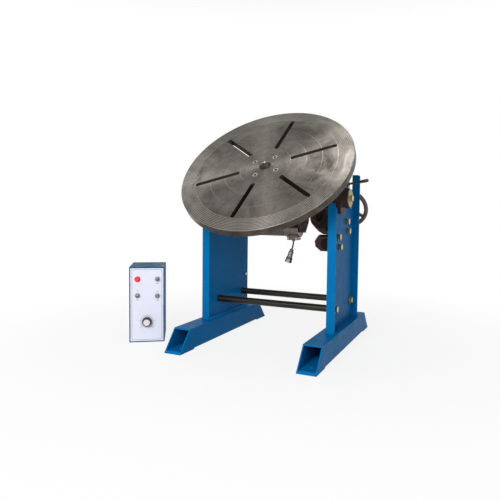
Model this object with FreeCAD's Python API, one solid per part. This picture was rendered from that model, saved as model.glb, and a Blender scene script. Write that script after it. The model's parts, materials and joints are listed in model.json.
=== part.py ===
import FreeCAD, Part
import math
import os

# Welding positioner: a round slotted table on a worm-driven spindle, carried by a cradle that tilts
# between two floor columns.  A hand wheel turns an inclined worm that drives a toothed quadrant.
#
# Frame: X runs from the left column to the right column, Y from front to rear, Z up.
# The stand is drawn with Y = 0 at the middle of the columns.  At the end every piece moves so that
# the origin is on the floor, in the middle of the four anchor holes.  Lengths are in millimetres.
# The tilting head is drawn in its own frame, with the tilt axis as origin, the table normal
# along +Z and the up-slope direction along +Y, and is then turned to the stored 45 degree tilt.

V = FreeCAD.Vector
X_DIR = (1, 0, 0)
Y_DIR = (0, 1, 0)
Z_DIR = (0, 0, 1)
LEFT = (-1, 0, 0)
DOWN = (0, 0, -1)

# ---------------------------------------------------------------- fits and clearances
SEAT_GAP = 0.05          # radial gap of parts that are pressed or screwed together
RUN_GAP = 0.06           # radial gap of a shaft that turns in a bush or bearing
BOLT_GAP = 0.5           # radial gap of a bolt in its clearance hole
END_GAP = 0.3            # between faces that turn past each other
CUT = 1.0                # how far a cutting tool runs past the face that it opens

# ---------------------------------------------------------------- bolts: shank radius, length, flats, head
M12 = (6.0, 25.0, 19.0, 8.0)
M12_LONG = (6.0, 30.0, 19.0, 8.0)
M10 = (5.0, 20.0, 16.0, 6.5)
M6 = (3.0, 16.0, 10.0, 4.0)
WASHER_T = 3.0
WASHER_R = 12.0

# ---------------------------------------------------------------- feet
FOOT_X = 228.0           # middle of each foot tube
FOOT_W = 62.0
FOOT_H = 72.0            # floor to the top of the tube
FOOT_WALL = 4.0
FOOT_FRONT_LOW = -368.0  # front end at the floor
FOOT_FRONT_TOP = -310.0
FOOT_REAR_LOW = 288.0
FOOT_REAR_TOP = 224.0
PAD_L = 84.0
PAD_T = 4.0
ANCHOR_R = 7.0
ANCHOR_INSET = 43.0      # anchor hole from the end of the foot at the floor

# ---------------------------------------------------------------- columns
WEB_X = 219.0            # inner face of the web
WEB_T = 8.0
FLANGE_DEPTH = 28.0      # inner face of the web to the edge of the flange
FLANGE_T = 8.0
COLUMN_W = 310.0         # front face to rear face
FRONT_FLANGE_TOP = 492.0
REAR_FLANGE_TOP = 602.0
WEB_TOP = 477.0
FLANGE_CUT_X = 13.0      # sloping corner of the front flange
FLANGE_CUT_Z = 18.0
FLANGE_CORNER_R = 9.0
NOTCH_BOTTOM_W = 50.0    # seat of the trunnion housing in the top of the web
NOTCH_TOP_W = 66.0
NOTCH_FLOOR = 458.0
WELD_LEG = 5.0
EARTH_Y, EARTH_Z = 135.0, 204.0
SPARE_Y, SPARE_Z = 34.0, 207.0
SPARE_R = 4.0

# ---------------------------------------------------------------- tie bars
TIE_R = 12.0
TIE_Z = 138.0
TIE_FRONT_Y = -85.0
TIE_REAR_Y = 109.0
TIE_REAR_WASHER_R = 17.0

# ---------------------------------------------------------------- tilt axis and trunnions
TILT_Y = -58.0
TILT_Z = 510.0
TILT_REST = 45.0
TRUNNION_R = 18.0
TRUNNION_SEAT_R = 22.0
TRUNNION_FLANGE_R = 41.0
TRUNNION_FLANGE_T = 12.0
TRUNNION_BOLT_PCR = 30.0
TRUNNION_BOLT_COUNT = 4
HOUSING_R = 31.0
HOUSING_X0 = 206.0
HOUSING_X1 = 262.0
HOUSING_FOOT_X0 = 212.0
HOUSING_FOOT_X1 = 242.0
BUSH_R = 22.0
END_WASHER_R = 31.0
END_WASHER_T = 4.0

# ---------------------------------------------------------------- tilt lock
LOCK_X = 255.0
LOCK_BOSS_X = 252.5
LOCK_BOSS_R = 9.5
LOCK_BOSS_H = 3.0        # above the barrel
LOCK_STUD_R = 4.0
LOCK_NUT_AF = 17.0
LOCK_NUT_T = 4.0
LEVER_Z = 556.5          # where the arm leaves the stud
LEVER_RISE = 10.0        # degrees that the arm slopes up
LEVER_L = 71.0           # stud axis to the end of the grip
LEVER_HUB_R = 7.5
LEVER_HUB_H = 14.0
LEVER_R = 3.5
GRIP_L = 30.0
GRIP_END_R = 5.6

# ---------------------------------------------------------------- tilt worm and quadrant
WORM_X = 190.0
WORM_INCLINE = 25.0
PRESSURE_ANGLE = 20.0
TILT_MODULE = 3.0
TILT_TEETH = 80          # of the full circle
TILT_WORM_PITCH_R = 15.0
TILT_WORM_L = 50.0
TILT_BACKLASH = 0.4
QUADRANT_SPACES = 25
QUADRANT_FACE = 24.0
QUADRANT_DISH_X = 141.0  # inboard face of the dish
QUADRANT_DISH_OUT = ((0.0, 36.0), (6.0, 23.0), (17.0, 12.0), (28.0, 2.5))   # inwards from the pitch circle
QUADRANT_DISH_IN = ((35.0, 20.0), (25.0, 28.0), (17.0, 40.0))              # at each distance from the dish
QUADRANT_RIM_STEP = 1.5  # below the pitch circle
QUADRANT_RIM_T = 13.0
QUADRANT_DISH_T = 15.0
QUADRANT_HUB_R = 34.0
QUADRANT_NECK_R = 32.0
TILT_SHAFT_R = 10.0
TILT_COLLAR_R = 13.0
TILT_COLLAR_L = 12.0
BLOCK_HALF_SPAN = 60.0   # middle of the worm to the middle of each bearing block
BLOCK_L = 34.0
BLOCK_LOW = -29.0        # across the shaft, away from the tilt axis
BLOCK_HIGH = 27.0
BLOCK_INBOARD_X = 149.0
BLOCK_CORNER = 17.0
BLOCK_BUSH_R = 14.0
BLOCK_CAP_R = 20.0
BLOCK_CAP_T = 5.0
BLOCK_CLEAR = 2.0        # between the block and the quadrant
BLOCK_BOLT_SPACING = 38.0

# ---------------------------------------------------------------- hand wheel
WHEEL_AT = 215.0         # along the worm shaft, from the middle of the worm
WHEEL_R = 80.0
WHEEL_RIM_R = 8.0
WHEEL_HUB_R = 17.0
WHEEL_HUB_L = 30.0
WHEEL_SPOKES = 3
WHEEL_SPOKE_W = 14.0
WHEEL_SPOKE_T = 8.0
WHEEL_THREAD_R = 6.0
WHEEL_NUT_AF = 19.0
WHEEL_NUT_T = 10.0
CRANK_R = 10.0
CRANK_L = 60.0
CRANK_PIN_R = 4.0
CRANK_ANGLE = 165.0      # place of the crank on the rim

# ---------------------------------------------------------------- table
TABLE_R = 300.0
TABLE_T = 26.0
TABLE_FACE_H = 150.0     # tilt axis to the work face
TABLE_BORE_R = 20.0
TABLE_BORE_DEPTH = 34.0  # of the wide register, into the spindle
TABLE_CHAMFER = 1.5
SLOT_W = 16.0
SLOT_COUNT = 6
SLOT_IN_R = 88.5
SLOT_OUT_R = 247.0
SLOT_ANGLE = 22.5
GROOVE_RADII = (89.0, 143.0, 196.0, 247.0)
GROOVE_W = 1.6
GROOVE_DEPTH = 0.8
TABLE_SCREW_PCR = 50.0
TABLE_SCREW_COUNT = 4
TABLE_SCREW_ANGLE = 64.5
TABLE_SCREW_R = 6.0
TABLE_SCREW_L = 26.0
TABLE_SCREW_HEAD_R = 9.0
TABLE_SCREW_HEAD_H = 12.0
TABLE_SCREW_SOCKET_AF = 10.0
SCREW_SINK = 1.5         # screw head below the face

# ---------------------------------------------------------------- spindle and its housing
SPINDLE_FLANGE_R = 70.0
SPINDLE_FLANGE_T = 16.0
SPINDLE_SHOULDER_R = 46.0
SPINDLE_BORE_R = 15.0
SPINDLE_BODY_R = 36.0
SPINDLE_TAIL_R = 24.0    # seat of the worm wheel
SPINDLE_END = -111.0
UPPER_BEARING = (40.0, 62.0, 22.0)    # bore radius, outer radius, width
UPPER_BEARING_DROP = 4.0  # below the spindle flange
LOWER_BEARING = (30.0, 50.0, 20.0)
LOWER_BEARING_TOP = -14.0
SPINDLE_NUT_R = 36.0
SPINDLE_NUT_T = 10.0
BARREL_TOP_GAP = 3.0     # below the spindle flange
BARREL_BOTTOM = -36.0
BARREL_WALL = 9.0
BARREL_FLANGE_R = 92.0
BARREL_FLANGE_T = 12.0
BARREL_BOLTS = 6
BARREL_BOLT_PCR = 82.0

# ---------------------------------------------------------------- cradle
ARM_GAP = 3.0            # between the barrel flange and each arm
ARM_T = 12.0
PLATE_LOW = 44.0
PLATE_T = 14.0
PLATE_HALF_L = 92.0      # along the slope
PLATE_BOLT_S = (-72.0, 0.0, 72.0)

# ---------------------------------------------------------------- rotation drive
DRIVE_MODULE = 2.5
DRIVE_TEETH = 44
DRIVE_WORM_PITCH_R = 20.0
DRIVE_H = -72.0          # level of the worm below the tilt axis
DRIVE_FACE = 22.0
DRIVE_BACKLASH = 0.4
DRIVE_WORM_L = 34.0
DRIVE_SHAFT_R = 9.0
DRIVE_JOURNAL_R = 7.0
DRIVE_HUB_R = 34.0
CASE_WALL = 9.0
CASE_TOP_T = 7.0
CASE_CLEAR = 3.0         # between the wheel and the wall
WORM_CLEAR = 0.8         # between the worm and its chamber
CASE_BOTTOM = -103.0
CASE_MOUTH_R = 44.0
CASE_SCREWS = 4
COVER_T = 6.0
COVER_SCREWS = 6
CHAMBER_WALL = 6.2
CHAMBER_LEFT = -56.0
CHAMBER_RIGHT = 38.0
DRIVE_BEARING_R = 14.0
DRIVE_BEARING_W = 9.0
LEFT_BEARING_X = -50.0
RIGHT_BEARING_X = 40.0

# ---------------------------------------------------------------- motor
MOTOR_R = 31.0
MOTOR_WALL = 2.5
MOTOR_FRONT_T = 18.0
MOTOR_RIGHT = 88.0
MOTOR_CAP_T = 5.0
ROTOR_R = 20.0
ROTOR_X = (59.0, 83.0)
MOTOR_BOLT_PCR = 26.0
MOTOR_BOLT_R = 2.0
MOTOR_BOLT_REACH = 12.0  # in the drive case
MOTOR_BOLT_HEAD_R = 3.8
MOTOR_BOLT_HEAD_H = 2.0
TERMINAL_X = (48.0, 87.0)
TERMINAL_W = 34.0
TERMINAL_DROP = 11.0     # below the motor
TERMINAL_BOSS = 9.0
GLAND_R = 6.0
GLAND_L = 4.0

# ---------------------------------------------------------------- motor lead
LEAD_X = 66.5
LEAD_R = 2.6
LEAD_BEND_R = 60.0
LEAD_LEAN = 16.8         # direction of the plug from straight down
LEAD_STRAIGHT = (8.0, 14.0)
PLUG_L = 44.0
PLUG_RING_R = 12.5

# ---------------------------------------------------------------- control box
BOX_AT = (-392.0, -285.0)  # middle of the front face on the floor
BOX_TURN = 34.0
BOX_W = 120.0
BOX_H = 264.0
BOX_D = 160.0
BOX_WALL = 2.0
BOX_LIP = 6.0
PANEL_T = 2.0
PANEL_EDGE = 4.0         # case edge that shows round the panel
PANEL_LEFT = 28.0 - BOX_W / 2
PANEL_RIGHT = BOX_W / 2 - 24.0
LAMP_AT = (PANEL_LEFT, BOX_H - 42.0)
LAMP_R = 8.5
LAMP_RIM_R = 10.5
TOGGLES = ((PANEL_RIGHT, BOX_H - 43.0), (PANEL_LEFT, BOX_H - 100.0), (PANEL_RIGHT, BOX_H - 102.0))
TOGGLE_NUT_AF = 13.0
TOGGLE_NUT_T = 2.0
TOGGLE_BUSH_R = 5.5
TOGGLE_BORE_R = 3.7
TOGGLE_BUSH_L = 6.0
TOGGLE_LEVER_R = 1.8
TOGGLE_TIP_R = 2.6
TOGGLE_LEVER_L = 17.0
TOGGLE_REST = 12.0
KNOB_AT = (0.0, 72.0)
KNOB_R = 17.0
KNOB_L = 16.0
KNOB_GAP = 1.0
KNOB_SHAFT_R = 3.0
SOCKET_AT = (35.0 - BOX_W / 2, 60.0)
SOCKET_R = 8.0
SOCKET_BODY_R = 10.0
SOCKET_FLANGE_R = 14.0
SOCKET_FLANGE_T = 3.0
SOCKET_DEPTH = 14.0
INLET_AT = (BOX_W / 2 - 35.0, 60.0)
INLET_R = 9.0
BOX_SCREW_R = 2.0
BOX_SCREW_HEAD_R = 3.6
BOX_SCREW_HEAD_H = 1.8

# ---------------------------------------------------------------- values that follow
TILT_PITCH_R = TILT_MODULE * TILT_TEETH / 2
TILT_CENTRES = TILT_PITCH_R + TILT_WORM_PITCH_R
QUADRANT_TIP_R = TILT_PITCH_R + TILT_MODULE
QUADRANT_OUT_X = WORM_X + QUADRANT_FACE / 2
DRIVE_PITCH_R = DRIVE_MODULE * DRIVE_TEETH / 2
DRIVE_CENTRES = DRIVE_PITCH_R + DRIVE_WORM_PITCH_R
CAVITY_R = DRIVE_PITCH_R + DRIVE_MODULE + CASE_CLEAR
WORM_CAVITY_R = DRIVE_WORM_PITCH_R + DRIVE_MODULE + WORM_CLEAR
CHAMBER_R = WORM_CAVITY_R + CHAMBER_WALL
TABLE_BACK_H = TABLE_FACE_H - TABLE_T
SPINDLE_FLANGE_LOW = TABLE_BACK_H - SPINDLE_FLANGE_T
UPPER_BEARING_TOP = SPINDLE_FLANGE_LOW - UPPER_BEARING_DROP
UPPER_BEARING_LOW = UPPER_BEARING_TOP - UPPER_BEARING[2]
BARREL_TOP = SPINDLE_FLANGE_LOW - BARREL_TOP_GAP
LOWER_BEARING_LOW = LOWER_BEARING_TOP - LOWER_BEARING[2]
UPPER_BARREL_R = UPPER_BEARING[1] + BARREL_WALL
LOWER_BARREL_R = LOWER_BEARING[1] + BARREL_WALL
ARM_X = BARREL_FLANGE_R + ARM_GAP
ARM_OUT = ARM_X + ARM_T
FLANGE_OUT = ARM_OUT + TRUNNION_FLANGE_T
TRUNNION_SHOULDER = HOUSING_X0 - END_GAP
TRUNNION_END = HOUSING_X1 + END_GAP
COLUMN_HALF = COLUMN_W / 2
FLANGE_EDGE_X = WEB_X + FLANGE_DEPTH
M12_SEAT_X = WEB_X + WEB_T + WASHER_T
M12_REACH = M12[1] - WEB_T - WASHER_T
LOCK_TOP = TILT_Z + HOUSING_R + LOCK_BOSS_H


# ================================================================ drawing helpers
def rod(radius, length, base, axis):
    return Part.makeCylinder(radius, length, V(*base), V(*axis))


def hole(radius, length, base, axis):
    """Cutting tool that starts a little outside the base point."""
    return Part.makeCylinder(radius, length + 2 * CUT, V(*base) - V(*axis) * CUT, V(*axis))


def tube(outer, inner, length, base, axis):
    return rod(outer, length, base, axis).cut(hole(inner, length, base, axis))


def block(x, y, z):
    return Part.makeBox(x[1] - x[0], y[1] - y[0], z[1] - z[0], V(x[0], y[0], z[0]))


def plate(points, axis, low, high):
    """Extrude a closed outline along one axis; its points give the other two in X, Y, Z order."""
    index = "XYZ".index(axis)
    corners = []
    for point in points:
        corner = list(point)
        corner.insert(index, low)
        corners.append(V(*corner))
    along = [0, 0, 0]
    along[index] = high - low
    return Part.Face(Part.makePolygon(corners + corners[:1])).extrude(V(*along))


def aimed(shape, base, axis):
    """Carry a shape drawn on the Z axis to a base point and a direction."""
    shape = shape.copy()
    shape.Placement = FreeCAD.Placement(V(*base), FreeCAD.Rotation(V(0, 0, 1), V(*axis)))
    return shape


def turned(profile, base, axis, angle=360.0):
    """Revolve (distance along the axis, radius) points about an axis."""
    corners = [V(radius, 0, along) for along, radius in profile]
    face = Part.Face(Part.makePolygon(corners + corners[:1]))
    return aimed(face.revolve(V(0, 0, 0), V(0, 0, 1), angle), base, axis)


def hexagon(across_flats, length, base, axis):
    corner_r = across_flats / math.sqrt(3)
    points = [V(*polar(corner_r, 60 * i), 0) for i in range(6)]
    prism = Part.Face(Part.makePolygon(points + points[:1])).extrude(V(0, 0, length))
    return aimed(prism, base, axis)


def back_of(axis):
    return tuple(-a for a in axis)


def hex_bolt(size, seat, axis):
    """Bolt whose head sits on the seat point; the axis points from the head into the hole."""
    shank_r, length, across_flats, head_h = size
    return hexagon(across_flats, head_h, seat, back_of(axis)).fuse(rod(shank_r, length, seat, axis))


def cap_screw(size, seat, axis, head_r, socket_af):
    shank_r, length, _, head_h = size
    top = tuple(s - a * head_h for s, a in zip(seat, axis))
    head = rod(head_r, head_h, seat, back_of(axis)).cut(hexagon(socket_af, head_h / 2, top, axis))
    return head.fuse(rod(shank_r, length, seat, axis))


def polar(radius, degrees):
    return radius * math.cos(math.radians(degrees)), radius * math.sin(math.radians(degrees))


def ring_of(count, radius, start):
    return [polar(radius, start + 360 / count * i) for i in range(count)]


def join(shapes):
    result = shapes[0]
    for shape in shapes[1:]:
        result = result.fuse(shape)
    return result.removeSplitter()


def mirrored(shape):
    return shape.mirror(V(0, 0, 0), V(1, 0, 0))


def both_sides(shapes):
    return Part.makeCompound(shapes + [mirrored(shape) for shape in shapes])


def placed(shape, place):
    shape = shape.copy()
    shape.Placement = place.multiply(shape.Placement)
    return shape


def on_head(shape):
    """From the head's own frame to its place at the stored tilt."""
    turn = FreeCAD.Rotation(V(1, 0, 0), TILT_REST)
    return placed(shape, FreeCAD.Placement(V(0, TILT_Y, TILT_Z), turn))


def on_worm_shaft(shape):
    """From the worm shaft's frame, drawn along +Y with the tilt axis above it, to its place."""
    across, down = polar(TILT_CENTRES, WORM_INCLINE - 90)
    foot = V(WORM_X, TILT_Y + across, TILT_Z + down)
    return placed(shape, FreeCAD.Placement(foot, FreeCAD.Rotation(V(1, 0, 0), WORM_INCLINE)))


def on_box(shape):
    """From the control box's frame, with its front face at Y = 0, to its place on the floor."""
    turn = FreeCAD.Rotation(V(0, 0, 1), BOX_TURN)
    return placed(shape, FreeCAD.Placement(V(BOX_AT[0], BOX_AT[1], 0), turn))


def cycled(shape, height):
    """Turn the axes round: what was drawn along X lies along Z, Y along X and Z along Y."""
    matrix = FreeCAD.Matrix(0, 1, 0, 0, 0, 0, 1, 0, 1, 0, 0, height, 0, 0, 0, 1)
    return placed(shape, FreeCAD.Placement(matrix))


# ================================================================ gear helpers
def worm(module, pitch_r, length, backlash):
    """Single-start right-hand worm along +Z, with the middle of a thread at +X, Z = 0."""
    pitch = math.pi * module
    root_r = pitch_r - 1.25 * module
    tip_r = pitch_r + module
    slope = math.tan(math.radians(PRESSURE_ANGLE))
    half = pitch / 4 - backlash / 4
    sunk = 0.6
    half_root = half + (pitch_r - root_r + sunk) * slope
    half_tip = half - module * slope
    turns = 2 * math.ceil(length / pitch / 2) + 2
    helix = Part.makeLongHelix(pitch, turns * pitch, pitch_r, 0, False)
    profile = Part.makePolygon([V(root_r - sunk, 0, -half_root), V(tip_r, 0, -half_tip),
                                V(tip_r, 0, half_tip), V(root_r - sunk, 0, half_root),
                                V(root_r - sunk, 0, -half_root)])
    thread = Part.Wire(helix.Edges).makePipeShell([profile], True, True)
    thread.translate(V(0, 0, -turns * pitch / 2))
    band = tube(tip_r + CUT, root_r - sunk / 2, length, (0, 0, -length / 2), Z_DIR)
    core = rod(root_r, length, (0, 0, -length / 2), Z_DIR)
    return core.fuse(thread.common(band))


def tooth_space(module, teeth, backlash, face, lead_slope):
    """Cutter for one tooth space of a wheel about X, at the bottom of the wheel (-Z side)."""
    pitch_r = module * teeth / 2
    base_r = pitch_r * math.cos(math.radians(PRESSURE_ANGLE))

    def involute(radius):
        angle = math.acos(min(1.0, base_r / radius))
        return math.tan(angle) - angle

    half_at_pitch = (math.pi * module / 2 + backlash / 2) / 2 / pitch_r
    root_r = pitch_r - 1.25 * module
    flank = []
    for radius in (root_r, pitch_r, pitch_r + 1.3 * module):
        half_angle = half_at_pitch + involute(radius) - involute(pitch_r)
        flank.append((radius * math.sin(half_angle), -radius * math.cos(half_angle)))
    outline = flank + [(-y, z) for y, z in reversed(flank)]
    depth = face + 2 * CUT
    shift = lead_slope * depth / 2
    corners = [V(-depth / 2, y - shift, z) for y, z in outline]
    return Part.Face(Part.makePolygon(corners + corners[:1])).extrude(V(depth, 2 * shift, 0))


def tooth_spaces(space, teeth, numbers):
    cutters = []
    for number in numbers:
        cutter = space.copy()
        cutter.rotate(V(0, 0, 0), V(1, 0, 0), 360.0 / teeth * number)
        cutters.append(cutter)
    return cutters


# ================================================================ stand
def foot_front(z):
    return FOOT_FRONT_LOW + (FOOT_FRONT_TOP - FOOT_FRONT_LOW) * z / FOOT_H


def foot_rear(z):
    return FOOT_REAR_LOW + (FOOT_REAR_TOP - FOOT_REAR_LOW) * z / FOOT_H


def foot_sides():
    return FOOT_X - FOOT_W / 2, FOOT_X + FOOT_W / 2


def anchor_places():
    return FOOT_FRONT_LOW + ANCHOR_INSET, FOOT_REAR_LOW - ANCHOR_INSET


def foot():
    """Rectangular tube with both ends cut on a slope."""
    left, right = foot_sides()
    outline = [(foot_front(PAD_T), PAD_T), (foot_rear(PAD_T), PAD_T), (foot_rear(FOOT_H), FOOT_H),
               (foot_front(FOOT_H), FOOT_H)]
    solid = plate(outline, "X", left, right)
    solid = solid.cut(block((left + FOOT_WALL, right - FOOT_WALL), (FOOT_FRONT_LOW, FOOT_REAR_LOW),
                            (PAD_T + FOOT_WALL, FOOT_H - FOOT_WALL)))
    for y in anchor_places():
        solid = solid.cut(hole(ANCHOR_R, FOOT_WALL, (FOOT_X, y, PAD_T), Z_DIR))
    return solid


def foot_pads():
    left, right = foot_sides()
    pads = []
    for end, inward, y in ((foot_front, 1, anchor_places()[0]), (foot_rear, -1, anchor_places()[1])):
        pad = plate([(end(0), 0), (end(0) + inward * (PAD_L - PAD_T), 0), (end(0) + inward * PAD_L, PAD_T),
                     (end(PAD_T), PAD_T)], "X", left, right)
        pads.append(pad.cut(hole(ANCHOR_R, PAD_T, (FOOT_X, y, 0), Z_DIR)))
    return both_sides(pads)


def notch_outline(extra):
    """Seat of the trunnion housing in the web: (y, z) points, open at the top."""
    return [(TILT_Y - NOTCH_BOTTOM_W / 2, NOTCH_FLOOR), (TILT_Y + NOTCH_BOTTOM_W / 2, NOTCH_FLOOR),
            (TILT_Y + NOTCH_TOP_W / 2, WEB_TOP), (TILT_Y + NOTCH_TOP_W / 2, WEB_TOP + extra),
            (TILT_Y - NOTCH_TOP_W / 2, WEB_TOP + extra), (TILT_Y - NOTCH_TOP_W / 2, WEB_TOP)]


def column(with_drive):
    """Right-hand channel with its back towards the middle, and its weld beads on the foot."""
    shoulder_y = TILT_Y - NOTCH_TOP_W / 2
    web = plate([(-COLUMN_HALF, FOOT_H), (COLUMN_HALF, FOOT_H), (COLUMN_HALF, WEB_TOP), (shoulder_y, WEB_TOP),
                 (shoulder_y - (FRONT_FLANGE_TOP - WEB_TOP) / 2, FRONT_FLANGE_TOP),
                 (-COLUMN_HALF, FRONT_FLANGE_TOP)], "X", WEB_X, WEB_X + WEB_T)
    front = plate([(WEB_X, FOOT_H), (FLANGE_EDGE_X, FOOT_H), (FLANGE_EDGE_X, FRONT_FLANGE_TOP - FLANGE_CUT_Z),
                   (FLANGE_EDGE_X - FLANGE_CUT_X, FRONT_FLANGE_TOP), (WEB_X, FRONT_FLANGE_TOP)],
                  "Y", -COLUMN_HALF, -COLUMN_HALF + FLANGE_T)
    rear = block((WEB_X, FLANGE_EDGE_X), (COLUMN_HALF - FLANGE_T, COLUMN_HALF), (FOOT_H, REAR_FLANGE_TOP))
    corner = [edge for edge in rear.Edges if edge.CenterOfMass.z > REAR_FLANGE_TOP - 0.1
              and edge.CenterOfMass.x > FLANGE_EDGE_X - 0.1]
    rear = rear.makeFillet(FLANGE_CORNER_R, corner)
    weld_top = FOOT_H + WELD_LEG
    beads = [plate([(WEB_X - WELD_LEG, FOOT_H), (WEB_X, FOOT_H), (WEB_X, weld_top)], "Y",
                   -COLUMN_HALF, COLUMN_HALF)]
    for end in (-1, 1):
        face = end * COLUMN_HALF
        beads.append(plate([(face, FOOT_H), (face + end * WELD_LEG, FOOT_H), (face, weld_top)], "X",
                           WEB_X, FLANGE_EDGE_X))
    solid = join([web, front, rear] + beads)
    solid = solid.cut(plate(notch_outline(CUT), "X", WEB_X - CUT, WEB_X + WEB_T + CUT))
    for y in (TIE_FRONT_Y, TIE_REAR_Y):
        solid = solid.cut(hole(M12[0] + BOLT_GAP, WEB_T, (WEB_X, y, TIE_Z), X_DIR))
    if with_drive:
        for along, across in block_bolt_places():
            start = (WEB_X - WORM_X, along, across)
            solid = solid.cut(on_worm_shaft(hole(M12[0] + BOLT_GAP, WEB_T, start, X_DIR)))
        return solid
    solid = solid.cut(hole(M6[0] + SEAT_GAP, WEB_T, (WEB_X, EARTH_Y, EARTH_Z), X_DIR))
    return mirrored(solid.cut(hole(SPARE_R, WEB_T, (WEB_X, SPARE_Y, SPARE_Z), X_DIR)))


def earth_bolt():
    return hex_bolt(M6, (-WEB_X, EARTH_Y, EARTH_Z), LEFT)


def tie_bars():
    bars = []
    for y in (TIE_FRONT_Y, TIE_REAR_Y):
        bar = rod(TIE_R, 2 * WEB_X, (-WEB_X, y, TIE_Z), X_DIR)
        for side in (-1, 1):
            bar = bar.cut(rod(M12[0] + SEAT_GAP, M12_REACH + CUT, (side * WEB_X, y, TIE_Z), (-side, 0, 0)))
        bars.append(bar)
    return Part.makeCompound(bars)


def stand_washers():
    start_x = WEB_X + WEB_T
    rings = []
    for y, radius in ((TIE_FRONT_Y, WASHER_R), (TIE_REAR_Y, TIE_REAR_WASHER_R)):
        rings.append(tube(radius, M12[0] + BOLT_GAP, WASHER_T, (start_x, y, TIE_Z), X_DIR))
    rings += [mirrored(ring) for ring in rings]
    for along, across in block_bolt_places():
        ring = tube(WASHER_R, M12[0] + BOLT_GAP, WASHER_T, (start_x - WORM_X, along, across), X_DIR)
        rings.append(on_worm_shaft(ring))
    return Part.makeCompound(rings)


def stand_bolts():
    bolts = [hex_bolt(M12, (M12_SEAT_X, y, TIE_Z), LEFT) for y in (TIE_FRONT_Y, TIE_REAR_Y)]
    bolts += [mirrored(bolt) for bolt in bolts]
    for along, across in block_bolt_places():
        bolts.append(on_worm_shaft(hex_bolt(M12, (M12_SEAT_X - WORM_X, along, across), LEFT)))
    return Part.makeCompound(bolts)


def trunnion_housing(with_lock):
    """Barrel over the web with a foot that fills the notch."""
    length = HOUSING_X1 - HOUSING_X0
    waist = HOUSING_R - 2
    foot_shape = plate(notch_outline(0.0)[:3] + [(TILT_Y + waist, TILT_Z - 6), (TILT_Y - waist, TILT_Z - 6),
                       (TILT_Y - NOTCH_TOP_W / 2, WEB_TOP)], "X", HOUSING_FOOT_X0, HOUSING_FOOT_X1)
    solid = rod(HOUSING_R, length, (HOUSING_X0, TILT_Y, TILT_Z), X_DIR).fuse(foot_shape)
    if with_lock:
        solid = solid.fuse(rod(LOCK_BOSS_R, LOCK_TOP - TILT_Z, (LOCK_BOSS_X, TILT_Y, TILT_Z), Z_DIR))
        solid = solid.cut(rod(LOCK_STUD_R + RUN_GAP, 2 * HOUSING_R, (LOCK_X, TILT_Y, TILT_Z), Z_DIR))
    solid = solid.cut(hole(BUSH_R + SEAT_GAP, length, (HOUSING_X0, TILT_Y, TILT_Z), X_DIR))
    return solid if with_lock else mirrored(solid)


def trunnion_bushes():
    start = (HOUSING_X0, TILT_Y, TILT_Z)
    bush = tube(BUSH_R, TRUNNION_R + RUN_GAP, HOUSING_X1 - HOUSING_X0, start, X_DIR)
    right = bush.cut(rod(LOCK_STUD_R + RUN_GAP, 2 * HOUSING_R, (LOCK_X, TILT_Y, TILT_Z), Z_DIR))
    return Part.makeCompound([right, mirrored(bush)])


def lock_nut():
    seat = (LOCK_X, TILT_Y, LOCK_TOP)
    thread = hole(LOCK_STUD_R + RUN_GAP, LOCK_NUT_T, seat, Z_DIR)
    return hexagon(LOCK_NUT_AF, LOCK_NUT_T, seat, Z_DIR).cut(thread)


# ---------------------------------------------------------------- clamp lever
def raised(shape):
    """Tips a level lever piece up about the middle of its hub."""
    shape.rotate(V(LOCK_X, TILT_Y, LEVER_Z), V(0, 1, 0), -LEVER_RISE)
    return shape


def clamp_lever():
    """Stud, hub and arm of the tilt lock."""
    low = TILT_Z + TRUNNION_R + 2 * END_GAP
    stud = rod(LOCK_STUD_R, LEVER_Z - low, (LOCK_X, TILT_Y, low), Z_DIR)
    hub = rod(LEVER_HUB_R, LEVER_HUB_H, (LOCK_X, TILT_Y, LEVER_Z - LEVER_HUB_H / 2), Z_DIR)
    arm = rod(LEVER_R, LEVER_L - GRIP_L / 2, (LOCK_X, TILT_Y, LEVER_Z), X_DIR)
    return stud.fuse(hub).fuse(raised(arm))


def lever_grip():
    """Tapered knob pressed on the end of the clamp lever."""
    bore = LEVER_R + SEAT_GAP
    depth = GRIP_L / 2 + CUT
    profile = [(0, bore), (0, LEVER_R + 1.2), (GRIP_L * 0.6, GRIP_END_R), (GRIP_L * 0.88, GRIP_END_R),
               (GRIP_L, GRIP_END_R * 0.6), (GRIP_L, 0), (depth, 0), (depth, bore)]
    return raised(turned(profile, (LOCK_X + LEVER_L - GRIP_L, TILT_Y, LEVER_Z), X_DIR))


# ---------------------------------------------------------------- tilt worm bearings
def block_bolt_places():
    """(along the shaft, across it) of the four bolts, in the worm shaft's frame."""
    half = BLOCK_BOLT_SPACING / 2
    return [(side * BLOCK_HALF_SPAN, across) for side in (-1, 1) for across in (-half, half)]


def worm_block(side):
    """Casting on the inner face of the web, relieved where the quadrant swings past."""
    left = BLOCK_INBOARD_X - WORM_X
    right = WEB_X - WORM_X
    middle = side * BLOCK_HALF_SPAN
    outline = [(left + BLOCK_CORNER, BLOCK_LOW), (right, BLOCK_LOW), (right, BLOCK_HIGH),
               (left + BLOCK_CORNER, BLOCK_HIGH), (left, BLOCK_HIGH - BLOCK_CORNER),
               (left, BLOCK_LOW + BLOCK_CORNER)]
    solid = plate(outline, "Y", middle - BLOCK_L / 2, middle + BLOCK_L / 2)
    swing = rod(QUADRANT_TIP_R + BLOCK_CLEAR, QUADRANT_FACE / 2 + BLOCK_CLEAR - left + CUT,
                (left - CUT, 0, TILT_CENTRES), X_DIR)
    solid = solid.cut(swing)
    solid = solid.cut(hole(BLOCK_BUSH_R + SEAT_GAP, BLOCK_L, (0, middle - BLOCK_L / 2, 0), Y_DIR))
    for along, across in block_bolt_places():
        if along == middle:
            solid = solid.cut(rod(M12[0] + SEAT_GAP, M12_REACH + 0.5, (right, along, across), LEFT))
    return on_worm_shaft(solid)


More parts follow.
